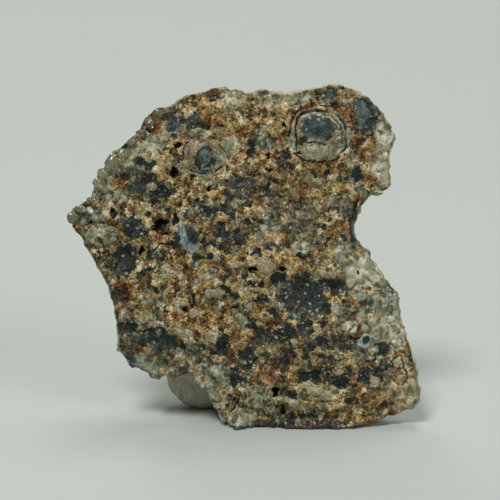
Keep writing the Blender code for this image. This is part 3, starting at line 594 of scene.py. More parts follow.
def drawSpots(on):
    extra = straySpots(darkWindows + holes + paleBeads + [oval for oval, _, _ in nodules])

    def shown(known, kind, spots, low, high):  # where each spot is and how strong
        for number, oval in enumerate(known + extra[kind]):
            near, reach = ovalReach(spots, oval)
            stray = number >= len(known)
            strength = 1.0 - strays["fade"] * on.calm[near] * stray
            yield oval, stray, near, reach, smoothStep(low, high, reach) * strength

    for _, _, near, _, inside in shown(rustSpots, "rust", on.angular, 1.35, 0.55):
        cover(on.rust, near, inside)
        cover(on.clay, near, 0.9 * inside)
    drawNodules(on)
    for _, stray, near, _, inside in shown(darkWindows, "dark", on.angular, 1.2, 0.85):
        inside = inside * (1.0 - on.light[near] * stray)
        turnTo(on.clay, near, 0.0, inside)
        turnTo(on.pale, near, skin["windowTone"], inside)
        cover(on.quiet, near, 0.7 * inside)
        cover(on.blue, near, 0.5 * inside)
        on.rise[near] -= skin["windowDepth"] * inside
    for oval, tone in blueCores:
        near, reach = ovalReach(on.straight * 0.5 + on.wavy * 0.5, oval)
        inside = smoothStep(1.2, 0.8, reach)
        turnTo(on.clay, near, 0.0, inside)
        turnTo(on.pale, near, tone, inside)
        cover(on.blue, near, inside)
        cover(on.quiet, near, inside)
    small, large = skin["beadTones"]
    for oval, _, near, reach, inside in shown(paleBeads, "pale", on.wavy, 1.15, 0.85):
        turnTo(on.clay, near, 0.0, 0.7 * inside)
        turnTo(on.pale, near, small + (large - small) * smoothStep(0.6, 1.2, oval[2]), inside)
        turnTo(on.blue, near, 0.0, inside)
        cover(on.cream, near, 0.5 * inside)
        cover(on.quiet, near, 0.6 * inside)
        dome = np.sqrt(np.clip(1.0 - reach ** 2, 0.0, 1.0))
        on.rise[near] += skin["beadHeight"] * min(oval[2], oval[3], 1.0) * dome
    for oval, _, near, _, inside in shown(holes, "hole", on.angular, 1.25, 0.7):
        cover(on.hollow, near, inside)
        cover(on.quiet, near, inside)
        on.rise[near] -= min(skin["holeDepth"], 1.1 * min(oval[2], oval[3])) * inside


def drawLines(on):
    for line in grooves:
        near, reach = lineReach(on.straight * 0.6 + on.wavy * 0.4, line)
        strength = 0.35 + 0.65 * smoothStep(-0.5, 0.1, noiseAt(on.places[near], 1.4, 81.0))
        inside = smoothStep(1.7, 0.5, reach) * strength
        cover(on.ring, near, inside)
        on.rise[near] -= skin["grooveDepth"] * inside
    for line in rustLines:
        near, reach = lineReach(on.wavy, line)
        inside = smoothStep(1.8, 0.6, reach)
        cover(on.rust, near, inside)
        cover(on.clay, near, 0.75 * inside)
        on.rise[near] -= 0.12 * inside
    for line in agateLines:
        near, reach = lineReach(on.straight * 0.7 + on.wavy * 0.3, line)
        inside = smoothStep(1.7, 0.6, reach)
        cover(on.pale, near, 0.66 * inside)
        turnTo(on.clay, near, 0.0, inside)
        on.rise[near] += 0.05 * inside


def raiseSurface(on):  # the lumps of the crust, the bare stone, the rim and the petals behind
    places, front, side, calm = on.places, on.front, on.side, on.calm
    for u, v, wide, high, _ in knobs["places"]:
        near, reach = ovalReach(places[:, :2], (u, v, wide + 0.5, high + 0.5))
        on.rise[near] -= knobs["retreat"] * smoothStep(1.5, 0.5, reach) * (1.0 - front[near])
    crust = front * (1.0 - on.quiet)
    covered = smoothStep(0.4, 0.6, on.clay)
    on.rise += crust * covered * skin["clayHeight"]
    on.rise += front * (1.0 - 0.6 * on.quiet) * skin["bubbleHeight"] * (on.bubbles - 0.4)
    coarse = smoothStep(-0.25, 0.25, noiseAt(places, 3.5, 25.0))
    clods = skin["clodHeight"] * coarse * (lumpsAt(on.shaken, skin["clodSize"]) - 0.4)
    lumps = skin["crumbHeight"] * (1.0 - 0.7 * coarse) * (lumpsAt(on.shaken, skin["crumbSize"], 8.0) - 0.4)
    on.rise += crust * (0.35 + 0.65 * covered) * (1.0 - 0.7 * calm) * (clods + lumps)
    grit = skin["gritHeight"] * (lumpsAt(places, skin["gritSize"], 7.0) - 0.4)
    on.rise += front * (0.4 + 0.6 * covered) * (1.0 - 0.8 * calm) * grit
    on.rise += front * calm * skin["calmHeight"] * (lumpsAt(places, skin["calmBubble"], 5.0) - 0.4)
    on.rise += side * skin["rimHeight"] * (lumpsAt(places, skin["rimBubble"], 4.0) - 0.45)
    on.rise += side * skin["swell"]
    for oval, amount in skin["lobeSwell"]:
        near, reach = ovalReach(places[:, :2], oval)
        on.rise[near] += side[near] * amount * smoothStep(1.3, 0.7, reach)
    chips = bitMiddles(on.shaken, skin["chip"], 44.0)
    slants = np.sin(chips * (7.1, 5.3, 6.7) + (1.0, 2.0, 3.0))  # each chip has its own slant
    chipped = ((on.shaken - chips) * slants).sum(axis=1) * skin["chipSlope"]
    on.rise += np.maximum(front * calm, 0.5 * side) * np.clip(chipped, -0.35, 0.35)
    back = (1.0 - front) * (1.0 - side)
    on.rise += back * skin["petalHeight"] * (lumpsAt(places, skin["petalBubble"], 6.0) - 0.4)
    near, reach = ovalReach(places[:, :2], skin["smoothLobe"])
    on.rise[near] *= 1.0 - 0.8 * smoothStep(1.4, 0.8, reach)


def skinFields(places, normals):  # how far each corner rises, and what covers it
    on = bareFace(places, normals)
    layGround(on)
    drawSpots(on)
    drawLines(on)
    for name in ("clay", "pale", "rust"):
        setattr(on, name, np.clip(getattr(on, name), 0.0, 1.0))
    raiseSurface(on)
    shown = ("clay", "pale", "rust", "cream", "hollow", "blue", "ring", "stain", "rim")
    fields = {name: getattr(on, name) for name in shown}
    fields["still"] = on.quiet
    fields["calm"] = np.maximum(on.calm, 1.0 - on.front)
    fields["facet"] = on.front * (0.3 + 0.7 * on.calm)
    return on.rise, fields


def cavities(mesh, rounds):  # mm that each corner lies below the smoothed skin round it
    before = readVectors(mesh.vertices, "co")
    normals = readVectors(mesh.vertices, "normal")
    shape = bmesh.new()
    shape.from_mesh(mesh)
    soften(shape, rounds)
    smooth = np.array([corner.co for corner in shape.verts])
    shape.free()
    return ((smooth - before) * normals).sum(axis=1) / mm


def makeSkin():
    mesh = refined(meltedCopy())
    rest = readVectors(mesh.vertices, "co")
    places = toFace(rest)
    normals = readVectors(mesh.vertices, "normal") @ faceAxes.T
    rise, fields = skinFields(places, normals)
    places = places + normals * rise[:, None]
    toe = smoothStep(*skin["toeHigh"], places[:, 1]) * smoothStep(*skin["toeDepth"], places[:, 2])
    toe *= smoothStep(*skin["toeEnds"], places[:, 0])
    down, out = skin["toe"]
    places[:, 1] -= down * toe
    places[:, 2] += out * toe
    # Painted shade under the lowest edge of the front: a dark band along the foot, kept with the dark lines
    # and rings.
    foot = skin["footShade"] * (0.75 + 0.5 * noiseAt(places, 2.4, 91.0))
    footShade = 0.85 * toe * smoothStep(1.1 * foot, 0.7 * foot, places[:, 1])
    fields["ring"] = np.maximum(fields["ring"], footShade)
    corners = fromFace(places)
    corners[:, 2] = np.maximum(corners[:, 2], 0.0)
    onFloor = rest[:, 2] < 0.15 * mm  # what the stone stands on keeps its height
    corners[onFloor] = (rest + (out * toe)[:, None] * faceAxes[2] * mm)[onFloor]
    corners[onFloor, 2] = rest[onFloor, 2]
    mesh.vertices.foreach_set("co", corners.astype(np.float32).ravel())
    shape = bmesh.new()
    shape.from_mesh(mesh)
    shape.verts.ensure_lookup_table()
    near, reach = ovalReach(places[:, :2], skin["smoothLobe"])
    soften(shape, skin["lobeRounds"], [shape.verts[index] for index in near[reach < 1.3]])
    shape.to_mesh(mesh)
    shape.free()
    mesh.update()
    sunk = sum((cavities(mesh, rounds) / deep for rounds, deep in skin["cavity"]), 0.5)
    fields["cavity"] = np.clip(sunk, 0.0, 1.0)
    for name, values in fields.items():
        mesh.attributes.new(name, "FLOAT", "POINT").data.foreach_set("value", values.astype(np.float32))
    mesh.update()
    mesh.shade_smooth()
    mesh.calc_loop_triangles()
    print("skin:", len(mesh.loop_triangles), "triangles")
    return addObject("rose_skin", mesh), places, normals, fields


# Clear glassy bubbles on the stone's edge: place on the face, half width and height, and how far back.
knobs = {
    "places": [
        (-20.1, 34.8, 1.05, 0.75, -0.9), (-19.5, 36.1, 1.0, 0.75, -0.8), (-18.2, 37.6, 1.15, 1.2, -0.9),
        (-16.8, 38.8, 0.8, 0.8, -0.7), (-18.5, 35.4, 0.45, 0.4, -0.2), (-18.9, 36.8, 0.5, 0.5, -0.3),
        (-17.6, 36.5, 0.6, 0.5, -0.1), (-17.2, 37.7, 0.5, 0.5, -0.1), (-15.6, 40.3, 0.7, 0.6, -0.8),
        (-14.3, 41.7, 0.7, 0.6, -0.9), (-13.0, 43.0, 0.7, 0.7, -0.8), (-11.9, 44.6, 0.6, 0.5, -0.8),
        (-23.9, 29.9, 0.85, 0.9, -0.8), (-22.8, 31.1, 0.9, 0.5, -0.6), (18.8, 33.4, 0.85, 0.4, -0.8),
        (-21.3, 32.4, 0.6, 0.4, -0.6),
    ],
    "thick": 0.8,  # of the half width
    "lump": 0.16,  # mm
    "retreat": 0.5,  # mm that the stone's own edge draws back behind them
}  # fmt: skip


def addKnobs():
    shape = bmesh.new()
    for u, v, wide, high, w in knobs["places"]:
        made = bmesh.ops.create_icosphere(shape, subdivisions=3, radius=1.0)["verts"]
        for corner in made:
            across, up, out = corner.co
            lump = knobs["lump"] * noise.noise(corner.co * 1.3 + Vector((u, v, 0.0)))
            swell = 1.0 + lump / min(wide, high)
            depth = out * wide * knobs["thick"]
            corner.co = onFace(u + across * wide * swell, v + up * high * swell, w + depth * swell)
    print("knobs:", len(shape.faces), "triangles")
    return addShape("clear_knobs", shape)


# Loose-looking grains that stick to the crust, far coarser than the real dust.
crumbs = {
    "name": "clay_crumbs",
    "seed": 21,
    "count": 2400,
    "sizes": (0.07, 0.18),  # mm, half across
    "facing": (0.3, 0.6),  # from here grains stick, and here they are thickest
    "onClay": (0.5, 0.8),
    "fromRim": (0.5, 1.6),  # mm
    "sunk": 0.3,  # how far a grain sits in the crust, as a share of its size
    "stretch": (0.7, 1.3),
    "scatter": 0.1,  # mm off its place, any way
    "fields": {"clay": 0.9, "pale": 0.5, "rim": 9.0, "cavity": 0.4},  # dry clay, whatever lies under it
    "kept": ("rust", "cream"),  # its colour is that of the clay round it
}
druse = {  # fine glassy grains on the dark bare stone
    "name": "druse_grains",
    "seed": 22,
    "count": 600,
    "sizes": (0.04, 0.09),
    "offClay": (0.45, 0.2),
    "onDark": (0.3, 0.1),
    "sunk": 0.4,
    "stretch": (0.8, 1.2),
    "scatter": 0.1,
    "fields": {},
    "kept": (),
}


def addGrains(recipe, chances, places, normals, fields):  # one mesh of many small grains
    chance = np.random.default_rng(recipe["seed"])
    picked = chance.choice(len(places), recipe["count"], p=chances / chances.sum())
    grain = bmesh.new()
    bmesh.ops.create_icosphere(grain, subdivisions=1, radius=1.0)
    corners = np.array([corner.co for corner in grain.verts])
    faces = np.array([[corner.index for corner in face.verts] for face in grain.faces])
    grain.free()
    low, high = recipe["sizes"]
    sizes = low + (high - low) * chance.random(len(picked)) ** 2
    stretch = chance.uniform(*recipe["stretch"], (len(picked), 1, 3))
    turns = np.linalg.qr(chance.normal(size=(len(picked), 3, 3)))[0]
    turns *= np.sign(np.linalg.det(turns))[:, None, None]
    spots = places[picked] + normals[picked] * (sizes * (1.0 - 2.0 * recipe["sunk"]))[:, None]
    spots += chance.uniform(-recipe["scatter"], recipe["scatter"], spots.shape)
    shapes = (corners * stretch * sizes[:, None, None]) @ turns + spots[:, None]
    flat = fromFace(shapes.reshape(-1, 3))
    flat[:, 2] = np.maximum(flat[:, 2], 0.0)
    rows = (faces[None] + len(corners) * np.arange(len(picked))[:, None, None]).reshape(-1, 3)
    mesh = bpy.data.meshes.new(recipe["name"])
    mesh.from_pydata(flat.tolist(), [], rows.tolist())
    for name, values in fields.items():
        same = np.full(len(picked), recipe["fields"].get(name, 0.0))
        shown = values[picked] if name in recipe["kept"] else same
        spread = np.repeat(shown, len(corners)).astype(np.float32)
        mesh.attributes.new(name, "FLOAT", "POINT").data.foreach_set("value", spread)
    mesh.update()
    print(recipe["name"] + ":", len(rows), "triangles")
    return addObject(recipe["name"], mesh)


def addNode(tree, kind, *values, out=0, stops=(), sockets=None, **settings):
    # Values fill the node's first sockets in order. Each is a number, a hex tone or another node's output.
    kind, _, operation = kind.partition(".")  # Math.ADD is a Math node that adds
    node = tree.nodes.new("ShaderNode" + kind)
    if operation:
        node.operation = operation
    for name, value in settings.items():
        setattr(node, name, value)
    for name, value in {**dict(enumerate(values)), **(sockets or {})}.items():
        if isinstance(value, bpy.types.NodeSocket):
            tree.links.new(value, node.inputs[name])
        else:
            node.inputs[name].default_value = linear(value) if isinstance(value, str) else value
    if stops:
        first, *between, last = stops
        ends = node.color_ramp.elements
        ends[0].position, ends[0].color = first[0], linear(first[1])
        ends[-1].position, ends[-1].color = last[0], linear(last[1])
        for place, code in between:
            node.color_ramp.elements.new(place).color = linear(code)
    return node.outputs[out] if node.outputs else None


def perMm(size):  # a texture's scale for features of this many millimetres
    return 1.0 / (size * mm)


soft = {"interpolation_type": "SMOOTHSTEP"}  # for a MapRange node that eases between its ends


# Colourless chalcedony, grown smooth in bubbles: water clear and a little hazy.
clearFinish = {
    "tone": "#d4d4b4",
    "roughness": 0.08,
    "transmission": 0.85,
    "ior": 1.54,  # chalcedony
}


def clearMaterial():
    material = bpy.data.materials.new("clear_chalcedony_bubbles")
    material.use_nodes = True
    surface = material.node_tree.nodes["Principled BSDF"]
    surface.inputs["Base Color"].default_value = linear(clearFinish["tone"])
    surface.inputs["Roughness"].default_value = clearFinish["roughness"]
    surface.inputs["IOR"].default_value = clearFinish["ior"]
    surface.inputs["Transmission Weight"].default_value = clearFinish["transmission"]
    print("material:", material.name)
    return material


# Rough chalcedony, grown as bubbles in clay: glassy where it is bare, chalky where the clay still sticks.
finish = {
    # Soft mottling: mm across, how many finer layers it has and how strong they are.
    "mottling": {
        "grain": (0.28, 3.0, 0.6),  # the real grains are finer still
        "patch": (1.0, 4.0, 0.65),
        "blotch": (0.75, 3.0, 0.5),
        "hue": (1.6, 3.0, 0.6),  # between orange and tan clay
        "crease": (1.3, 2.0, 0.5),  # between the dark crack lines of the clay, partly its own colour and partly painted crevice shade
    },
    "crumb": 0.38,  # mm, crumbs of clay that each have their own tone
    "crumbDrift": 0.342,  # mm that their borders wander
    "piece": 1.0,  # mm, bits of stone and clay that each have their own colour
    "pieceDrift": 1.1,
    "facet": 0.9,  # mm, broken faces of the bare glassy chalcedony
    "dome": 1.5,  # mm between the low bubbles of the milky back
    "fibre": 0.5,  # mm between the pale streaks of the bare chalcedony, five times as long as wide
    # What breaks up the edge of each covering, then where it begins to show and where it is full.
    "edges": {
        "orange": ({"pieceHue": 0.3}, 0.47, 0.57),
        "rust": ({"grain": 0.8, "pieceHue": 0.5, "blotch": 0.6}, 0.52, 0.68),
        "cream": ({"grain": 0.8, "pieceTone": 0.6, "blotch": 0.4}, 0.52, 0.68),
        # the dark lines and rings, with the painted shade along the foot
        "ring": ({"grain": 0.6, "patch": 0.8}, 0.40, 0.75),
        # the pits, painted near black as shade
        "hollow": ({"grain": 0.6}, 0.35, 0.7),
        "blue": ({"patch": 0.8, "pieceHue": 0.6}, 0.2, 0.8),
    },
    "clayEdge": {"grain": 0.6, "pieceKind": 0.5, "blotch": 0.6, "patch": 0.4},
    "clayFollows": 0.26,  # how much the clay's tone follows that of the stone beneath
    "clayMottle": {"crumb": 0.16, "pieceTone": 0.42, "grain": 0.62, "blotch": 0.5, "patch": 0.4},
    "bodyMottle": {"grain": 0.7, "crumb": 0.10, "pieceTone": 0.42, "blotch": 0.4, "patch": 0.4},
    "clayTones": [
        (0.22, "#1a150a"), (0.34, "#524624"), (0.44, "#827042"), (0.54, "#a99056"), (0.64, "#c7b07b"),
        (0.78, "#e8e0bf"),
    ],
    "orangeTones": [
        (0.24, "#20140a"), (0.40, "#704f22"), (0.54, "#a87b3f"), (0.66, "#c99f60"), (0.8, "#e5cb9a"),
    ],
    "rustTones": [(0.3, "#220f05"), (0.48, "#623918"), (0.64, "#99622f"), (0.8, "#c69358")],
    "creamTones": [(0.3, "#6f6749"), (0.52, "#b9ab86"), (0.75, "#e8dfc0")],
    "bodyTones": [
        (0.0, "#040a06"), (0.16, "#112014"), (0.32, "#37402a"), (0.46, "#6a6a49"), (0.60, "#93926e"),
        (0.78, "#bebc9c"), (1.0, "#e8e7d2"),
    ],
    "milkTones": [
        (0.0, "#12120c"), (0.25, "#45453a"), (0.45, "#7a7869"), (0.62, "#a7a594"), (0.80, "#cdccbf"),
        (1.0, "#ecece4"),
    ],
    "blueTones": [
        (0.0, "#03100e"), (0.18, "#0b2625"), (0.34, "#1f4042"), (0.50, "#4b6a6c"), (0.70, "#9ab0b0"),
        (1.0, "#dae5e0"),
    ],
    # Painted shade and highlight among the tones below: the pits' near-black, the dark band along the foot
    # (kept with the dark lines), the darkening in crevices and hollows, the darker edge, the lighter raised
    # parts and the pale facet edges.
    "pitShadeTone": "#120b06",
    "linesAndFootShadeTone": "#1a1b12",
    "stainTone": "#dcb688",
    "fleckTone": "#c3c8be",
    "cavityShadeTone": "#685a44",
    "crackAndCreviceShadeTone": "#2e2010",
    "rimShadeTone": "#a3a28a",
    "edgeHighlightAndStreakTone": "#d2d2ba",
    "ridgeHighlightTone": "#8a8468",
    "glassRoughness": 0.2,
    "clayRoughness": 0.9,
    "blueRoughness": 0.25,  # more where the bluish core has weathered dull
    "ior": 1.54,
    "specular": 0.34,
    "glow": 0.4,  # mm that light spreads inside the bare stone
    "relief": 0.15,  # mm, the depth of the bump
    "reliefStrength": 0.8,
}  # fmt: skip


def total(add, found, parts, base=0.0):  # patterns by their weights, each about its middle of 0.5
    for name, weight in parts.items():
        base = add("Math.MULTIPLY_ADD", add("Math.SUBTRACT", found[name], 0.5), weight, base)
    return base


def layered(add, colour, layers):  # each layer has a mask, a share of it, its colour and how it mixes
    for mask, share, layer, blend in layers:
        sockets = {0: add("Math.MULTIPLY", mask, share), 6: colour, 7: layer}
        colour = add("Mix", sockets=sockets, out=2, data_type="RGBA", blend_type=blend)
    return colour


def stonePatterns(add):  # what the stone's colours and relief are made of
    place = add("TexCoord", out="Object")
    scales = {name: {"Scale": perMm(finish[name])} for name in ("crumb", "piece", "facet", "dome")}
    toEdge = {"out": "Distance", "feature": "DISTANCE_TO_EDGE"}
    half = (0.5, 0.5, 0.5)
    found = {}
    for name, (size, detail, roughness) in finish["mottling"].items():
        sockets = {"Scale": perMm(size), "Detail": detail, "Roughness": roughness}
        found[name] = add("TexNoise", place, sockets=sockets)
    drift = add("TexNoise", place, sockets={**scales["crumb"], "Detail": 1.0}, out="Color")
    drift = add("VectorMath.SUBTRACT", drift, half)
    near, far = (
        add("VectorMath.MULTIPLY_ADD", drift, [finish[name] * mm] * 3, place)
        for name in ("crumbDrift", "pieceDrift")
    )
    cells = add("TexVoronoi", near, sockets=scales["crumb"], out="Color")
    found["crumb"], found["fleck"], _ = add("SeparateColor", cells).node.outputs
    pieces = add("TexVoronoi", far, sockets=scales["piece"], out="Color")
    found["pieceKind"], found["pieceTone"], found["pieceHue"] = add("SeparateColor", pieces).node.outputs
    found["pieceEdge"] = add("TexVoronoi", far, sockets=scales["piece"], **toEdge)
    found["dome"] = add("TexVoronoi", far, sockets=scales["dome"])
    fibres = add("VectorMath.MULTIPLY", near, (1.0, 1.0, 0.2))
    sockets = {"Scale": perMm(finish["fibre"]), "Detail": 2.0, "Distortion": 0.6}
    found["fibre"] = add("TexNoise", fibres, sockets=sockets)
    facets = add("TexVoronoi", near, sockets=scales["facet"], out="Color")  # each broken face is one cell
    found["facetTone"] = add("SeparateColor", facets)
    found["facetEdge"] = add("TexVoronoi", near, sockets=scales["facet"], **toEdge)
    off = add("VectorMath.SUBTRACT", near, facets.node.outputs["Position"])
    slant = add("VectorMath.SUBTRACT", facets, half)
    found["tilt"] = add("VectorMath.DOT_PRODUCT", off, slant, out="Value")
    return found


def stoneMasks(add, seen, found):  # where each covering shows
    fields = {**seen, "orange": found["hue"]}
    mask = {
        name: add("MapRange", total(add, found, parts, fields[name]), low, high, **soft)
        for name, (parts, low, high) in finish["edges"].items()
    }
    web = add("MapRange", found["pieceEdge"], 0.20, 0.04, **soft)  # clay fills the seams between the pieces
    broken = add("Math.MULTIPLY_ADD", web, 0.20, total(add, found, finish["clayEdge"]))
    steady = add("Math.MULTIPLY_ADD", seen["still"], -0.8, 1.0)  # spots and cores are drawn cleanly
    steady = add("Math.MULTIPLY", steady, add("Math.MULTIPLY_ADD", seen["calm"], -0.5, 1.0))
    broken = add("Math.MULTIPLY_ADD", broken, steady, seen["clay"])
    mask["clay"] = add("MapRange", broken, 0.46, 0.54, **soft)
    mask["bare"] = add("Math.SUBTRACT", 1.0, mask["clay"])
    mask["milky"] = add("Math.SUBTRACT", seen["calm"], seen["facet"], use_clamp=True)
    mask["loud"] = add("Math.MULTIPLY_ADD", seen["calm"], -0.7, 1.0)  # how mottled the ground is
    return mask


def clayColours(add, seen, found, mask):  # the mixed clay, and the rust that stains the stone too
    follows = finish["clayFollows"]
    tone = total(add, found, finish["clayMottle"], 0.5 - 0.46 * follows)
    tone = add("Math.MULTIPLY_ADD", seen["pale"], follows, tone)
    clay, orange, cream, rust = (
        add("ValToRGB", tone, stops=finish[name])
        for name in ("clayTones", "orangeTones", "creamTones", "rustTones")
    )
    clay = layered(add, clay, [
        (mask["orange"], 0.75, orange, "MIX"),
        (mask["cream"], 0.7, cream, "MIX"),
        (mask["rust"], 0.85, rust, "MIX"),
    ])
    return clay, rust


def bareColour(add, seen, found, mask, rust):  # the chalcedony where no clay lies on it
    mottle = add("Math.MULTIPLY_ADD", seen["still"], -0.6, 1.0)
    mottle = add("Math.MULTIPLY", total(add, found, finish["bodyMottle"]), mottle)
    tone = add("Math.MULTIPLY_ADD", mottle, mask["loud"], seen["pale"])
    # Painted glints: a few of the broken faces are lightened as if they catch the light.
    facetGlint = add("Math.MULTIPLY_ADD", add("Math.POWER", found["facetTone"], 4.0), 0.40, -0.02)
    tone = add("Math.MULTIPLY_ADD", facetGlint, seen["facet"], tone)
    fibrous = add("Math.MULTIPLY", seen["facet"], seen["calm"])
    tone = add("Math.MULTIPLY_ADD", total(add, found, {"fibre": 0.7}), fibrous, tone)
    body, milk, blue = (
        add("ValToRGB", tone, stops=finish[name]) for name in ("bodyTones", "milkTones", "blueTones")
    )
    rusty = add("Math.MULTIPLY", mask["rust"], add("Math.MULTIPLY_ADD", mask["blue"], -0.5, 0.5))
    fleck = add("MapRange", found["fleck"], 0.95, 0.97, **soft)
    # Pale edges of the broken faces are a painted highlight; the pale streaks along the fibres are the
    # stone's own colour.
    seams = add("MapRange", found["facetEdge"], 0.08, 0.01, **soft)
    seams = add("Math.MULTIPLY", seams, add("MapRange", found["patch"], 0.42, 0.58, **soft))
    streaks = add("Math.ABSOLUTE", add("Math.SUBTRACT", found["fibre"], 0.5))
    streaks = add("Math.MULTIPLY", add("MapRange", streaks, 0.035, 0.0, **soft), seen["calm"])
    edges = add("Math.MULTIPLY", add("Math.MAXIMUM", seams, streaks), seen["facet"])
    edges = add("Math.MULTIPLY", edges, seen["pale"])
    return layered(add, body, [
        (mask["milky"], 0.6, milk, "MIX"),
        (seen["stain"], 1.0, finish["stainTone"], "MULTIPLY"),
        (mask["blue"], 0.8, blue, "MIX"),
        (rusty, 1.0, rust, "MIX"),
        (fleck, 0.5, finish["fleckTone"], "MIX"),
        (edges, 0.8, finish["edgeHighlightAndStreakTone"], "MIX"),
    ])


def stoneColour(add, seen, found, mask):
    clay, rust = clayColours(add, seen, found, mask)
    # The clay's dark crack lines and the dark seams between its pieces: partly the clay's own colour, partly
    # painted shade in the crevices.
    seams = add("MapRange", found["pieceEdge"], 0.07, 0.01, **soft)
    seams = add("Math.MULTIPLY", seams, add("MapRange", found["patch"], 0.40, 0.56, **soft))
    cracksAndCreviceShade = add("Math.ABSOLUTE", add("Math.SUBTRACT", found["crease"], 0.5))
    cracksAndCreviceShade = add("Math.MAXIMUM", add("MapRange", cracksAndCreviceShade, 0.030, 0.006, **soft), seams)
    cracksAndCreviceShade = add("Math.MULTIPLY", cracksAndCreviceShade, add("Math.SUBTRACT", 1.0, seen["calm"]))
    cracksAndCreviceShade = add("Math.MULTIPLY", cracksAndCreviceShade, found["crumb"])
    # Painted shade where the skin lies below its smoothed self, strongest on the mottled ground.
    cavityShade = add("Math.MULTIPLY", add("MapRange", seen["cavity"], 0.5, 1.0, **soft), mask["loud"])
    # Painted highlight: the raised parts of the skin are lightened.
    ridgeHighlight = add("MapRange", seen["cavity"], 0.5, 0.0, **soft)
    # Painted shade: darker within 0.7 mm of the stone's edge seen from the front, where the surface turns
    # away, less on the calm ground.
    rimShade = add("MapRange", seen["rim"], 0.7, 0.0, **soft)
    rimShade = add("Math.MULTIPLY", rimShade, add("Math.MULTIPLY_ADD", seen["calm"], -0.8, 1.0))
    return layered(add, bareColour(add, seen, found, mask, rust), [
        (mask["clay"], 1.0, clay, "MIX"),
        (cracksAndCreviceShade, 0.9, finish["crackAndCreviceShadeTone"], "MIX"),
        (cavityShade, 1.0, finish["cavityShadeTone"], "MULTIPLY"),
        (ridgeHighlight, 0.3, finish["ridgeHighlightTone"], "SCREEN"),
        (rimShade, 1.0, finish["rimShadeTone"], "MULTIPLY"),
        # the dark lines and rings of the stone, with the painted shade along the foot
        (mask["ring"], 0.88, finish["linesAndFootShadeTone"], "MIX"),
        # painted shade: the pits are coloured near black
        (mask["hollow"], 0.92, finish["pitShadeTone"], "MIX"),
    ])


def stoneRelief(add, seen, found, mask):  # grain, tilted broken faces, worn pieces and the domes behind
    height = add("Math.MULTIPLY", found["grain"], add("Math.MULTIPLY_ADD", mask["clay"], 0.3, 0.3))
    height = add("Math.ADD", height, found["patch"])
    glassy = add("Math.MULTIPLY", add("Math.MULTIPLY", mask["bare"], seen["facet"]), 0.6)
    glassy = add("Math.MULTIPLY", glassy, add("Math.MULTIPLY_ADD", seen["still"], -0.7, 1.0))
    tilt = add("Math.DIVIDE", found["tilt"], finish["relief"] * mm)
    height = add("Math.MULTIPLY_ADD", tilt, glassy, height)
    worn = add("MapRange", found["pieceEdge"], 0.0, 0.22, **soft)
    height = add("Math.MULTIPLY_ADD", worn, add("Math.MULTIPLY", mask["loud"], 0.6), height)
    height = add("Math.MULTIPLY_ADD", found["dome"], add("Math.MULTIPLY", mask["milky"], -1.3), height)
    sockets = {"Strength": finish["reliefStrength"], "Distance": finish["relief"] * mm, "Height": height}
    return add("Bump", sockets=sockets)


def stoneMaterial(fields):
    material = bpy.data.materials.new("rough_chalcedony_in_clay")
    material.use_nodes = True
    tree = material.node_tree
    tree.nodes.clear()
    add = partial(addNode, tree)
    seen = {name: add("Attribute", out="Fac", attribute_name=name) for name in fields}
    found = stonePatterns(add)
    mask = stoneMasks(add, seen, found)
    sockets = {"To Min": finish["glassRoughness"], "To Max": finish["clayRoughness"]}
    roughness = add("MapRange", mask["clay"], sockets=sockets)
    surface = add("BsdfPrincipled", sockets={
        "Base Color": stoneColour(add, seen, found, mask),
        "Roughness": add("Math.MULTIPLY_ADD", seen["blue"], finish["blueRoughness"], roughness),
        "Normal": stoneRelief(add, seen, found, mask),
        "IOR": finish["ior"],
        "Specular IOR Level": finish["specular"],
        "Subsurface Weight": add("Math.MULTIPLY", mask["bare"], seen["pale"]),
        "Subsurface Radius": (1.0, 1.0, 1.0),
        "Subsurface Scale": finish["glow"] * mm,
    })
    add("OutputMaterial", surface)
    print("material:", material.name, len(tree.nodes), "nodes")
    return material


room = {
    "floor": "#b1b7b0",
    "floorRoughness": 0.95,
    "floorWide": 3.0,
    "inFront": 1.5,  # how far the floor reaches before the stone
    "bendBack": 0.45,  # where the floor begins to sweep up behind the stone
    "bendRadius": 0.20,
    "sky": "#e8ecea",
    "skyStrength": 0.07,
    "lights": {  # place, width across in metres, and power in watts
        "key": ((-0.48, -0.78, 1.65), 0.6, 24.5),
        "fill": ((1.05, -0.90, 0.90), 0.85, 7.0),
        "top": ((0.15, 0.55, 1.60), 0.8, 11.0),
        "back": ((-0.50, 1.30, 1.20), 0.6, 5.0),
    },
}
view = {
    "elevation": math.radians(15.0),  # how far it looks down
    "lens": 120.0,
    "sensor": 36.0,
    "width": 70.0,  # mm across the frame at the stone
    "aim": (0.98, 25.4),  # u and v of the middle of the frame
}


def addFloor():
    sweep = bmesh.new()
    wide = room["floorWide"] / 2
    start = [sweep.verts.new((side, -room["inFront"], 0.0)) for side in (-wide, wide)]
    grown = bmesh.ops.extrude_edge_only(sweep, edges=[sweep.edges.new(start)])
    corners = [item for item in grown["geom"] if isinstance(item, bmesh.types.BMVert)]
    bmesh.ops.translate(sweep, verts=corners, vec=(0, room["inFront"] + room["bendBack"], 0))
    edges = [item for item in grown["geom"] if isinstance(item, bmesh.types.BMEdge)]
    bmesh.ops.spin(
        sweep,
        geom=edges,
        cent=(0, room["bendBack"], room["bendRadius"]),
        axis=(1, 0, 0),
        angle=math.radians(90),
        steps=24,
    )
    floor = addShape("studio_floor", sweep)
    paper = bpy.data.materials.new("matt_studio_paper")
    paper.use_nodes = True
    surface = paper.node_tree.nodes["Principled BSDF"]
    surface.inputs["Base Color"].default_value = linear(room["floor"])
    surface.inputs["Roughness"].default_value = room["floorRoughness"]
    floor.data.materials.append(paper)


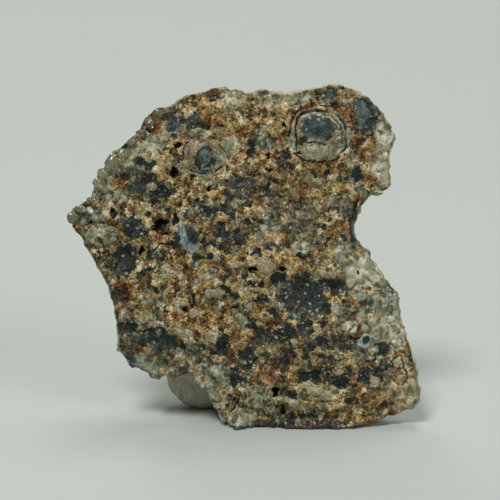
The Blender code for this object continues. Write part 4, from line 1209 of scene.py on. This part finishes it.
def addLights():
    for name, (place, size, power) in room["lights"].items():
        lamp = bpy.data.lights.new(name, "AREA")
        lamp.shape = "DISK"
        lamp.size = size
        lamp.energy = power
        holder = addObject(name, lamp)
        holder.location = place
        holder.rotation_euler = (onFace(0, 24) - Vector(place)).to_track_quat("-Z", "Y").to_euler()
    world = bpy.data.worlds.new("studio")
    world.use_nodes = True
    sky = world.node_tree.nodes["Background"]
    sky.inputs["Color"].default_value = linear(room["sky"])
    sky.inputs["Strength"].default_value = room["skyStrength"]
    bpy.context.scene.world = world
    bpy.context.scene.view_settings.view_transform = "Standard"


def addCamera():
    camera = addObject("camera", bpy.data.cameras.new("camera"))
    camera.data.lens = view["lens"]
    camera.data.sensor_width = view["sensor"]
    camera.data.clip_start = 0.01
    distance = view["width"] * mm * view["lens"] / view["sensor"]
    back = Vector((0.0, -math.cos(view["elevation"]), math.sin(view["elevation"])))
    camera.location = onFace(*view["aim"]) + back * distance
    camera.rotation_euler = (math.pi / 2 - view["elevation"], 0.0, 0.0)
    bpy.context.scene.camera = camera


addCamera()
addFloor()
addLights()
print("room: camera, floor and", len(room["lights"]), "lights")

rose, places, normals, fields = makeSkin()
facing = smoothStep(*crumbs["facing"], normals[:, 2]) * smoothStep(*skin["frontDepth"], places[:, 2])
uncut = facing * (1.0 - fields["hollow"])  # faces the front and isn't in a pit
dry = smoothStep(*crumbs["onClay"], fields["clay"] + 0.2 * noiseAt(places, 1.3, 71.0)) * uncut
dry *= smoothStep(*crumbs["fromRim"], fields["rim"])
clayGrains = addGrains(crumbs, dry, places, normals, fields)
wet = smoothStep(*druse["offClay"], fields["clay"]) * smoothStep(*druse["onDark"], fields["pale"]) * uncut
glassGrains = addGrains(druse, wet, places, normals, {})
clearKnobs = addKnobs()

chalcedony = stoneMaterial(fields)
clear = clearMaterial()
dressed = ((rose, chalcedony), (clayGrains, chalcedony), (glassGrains, clear), (clearKnobs, clear))
for piece, material in dressed:
    piece.data.materials.clear()
    piece.data.materials.append(material)
    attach(piece, "root")
    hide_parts(stone["node"])
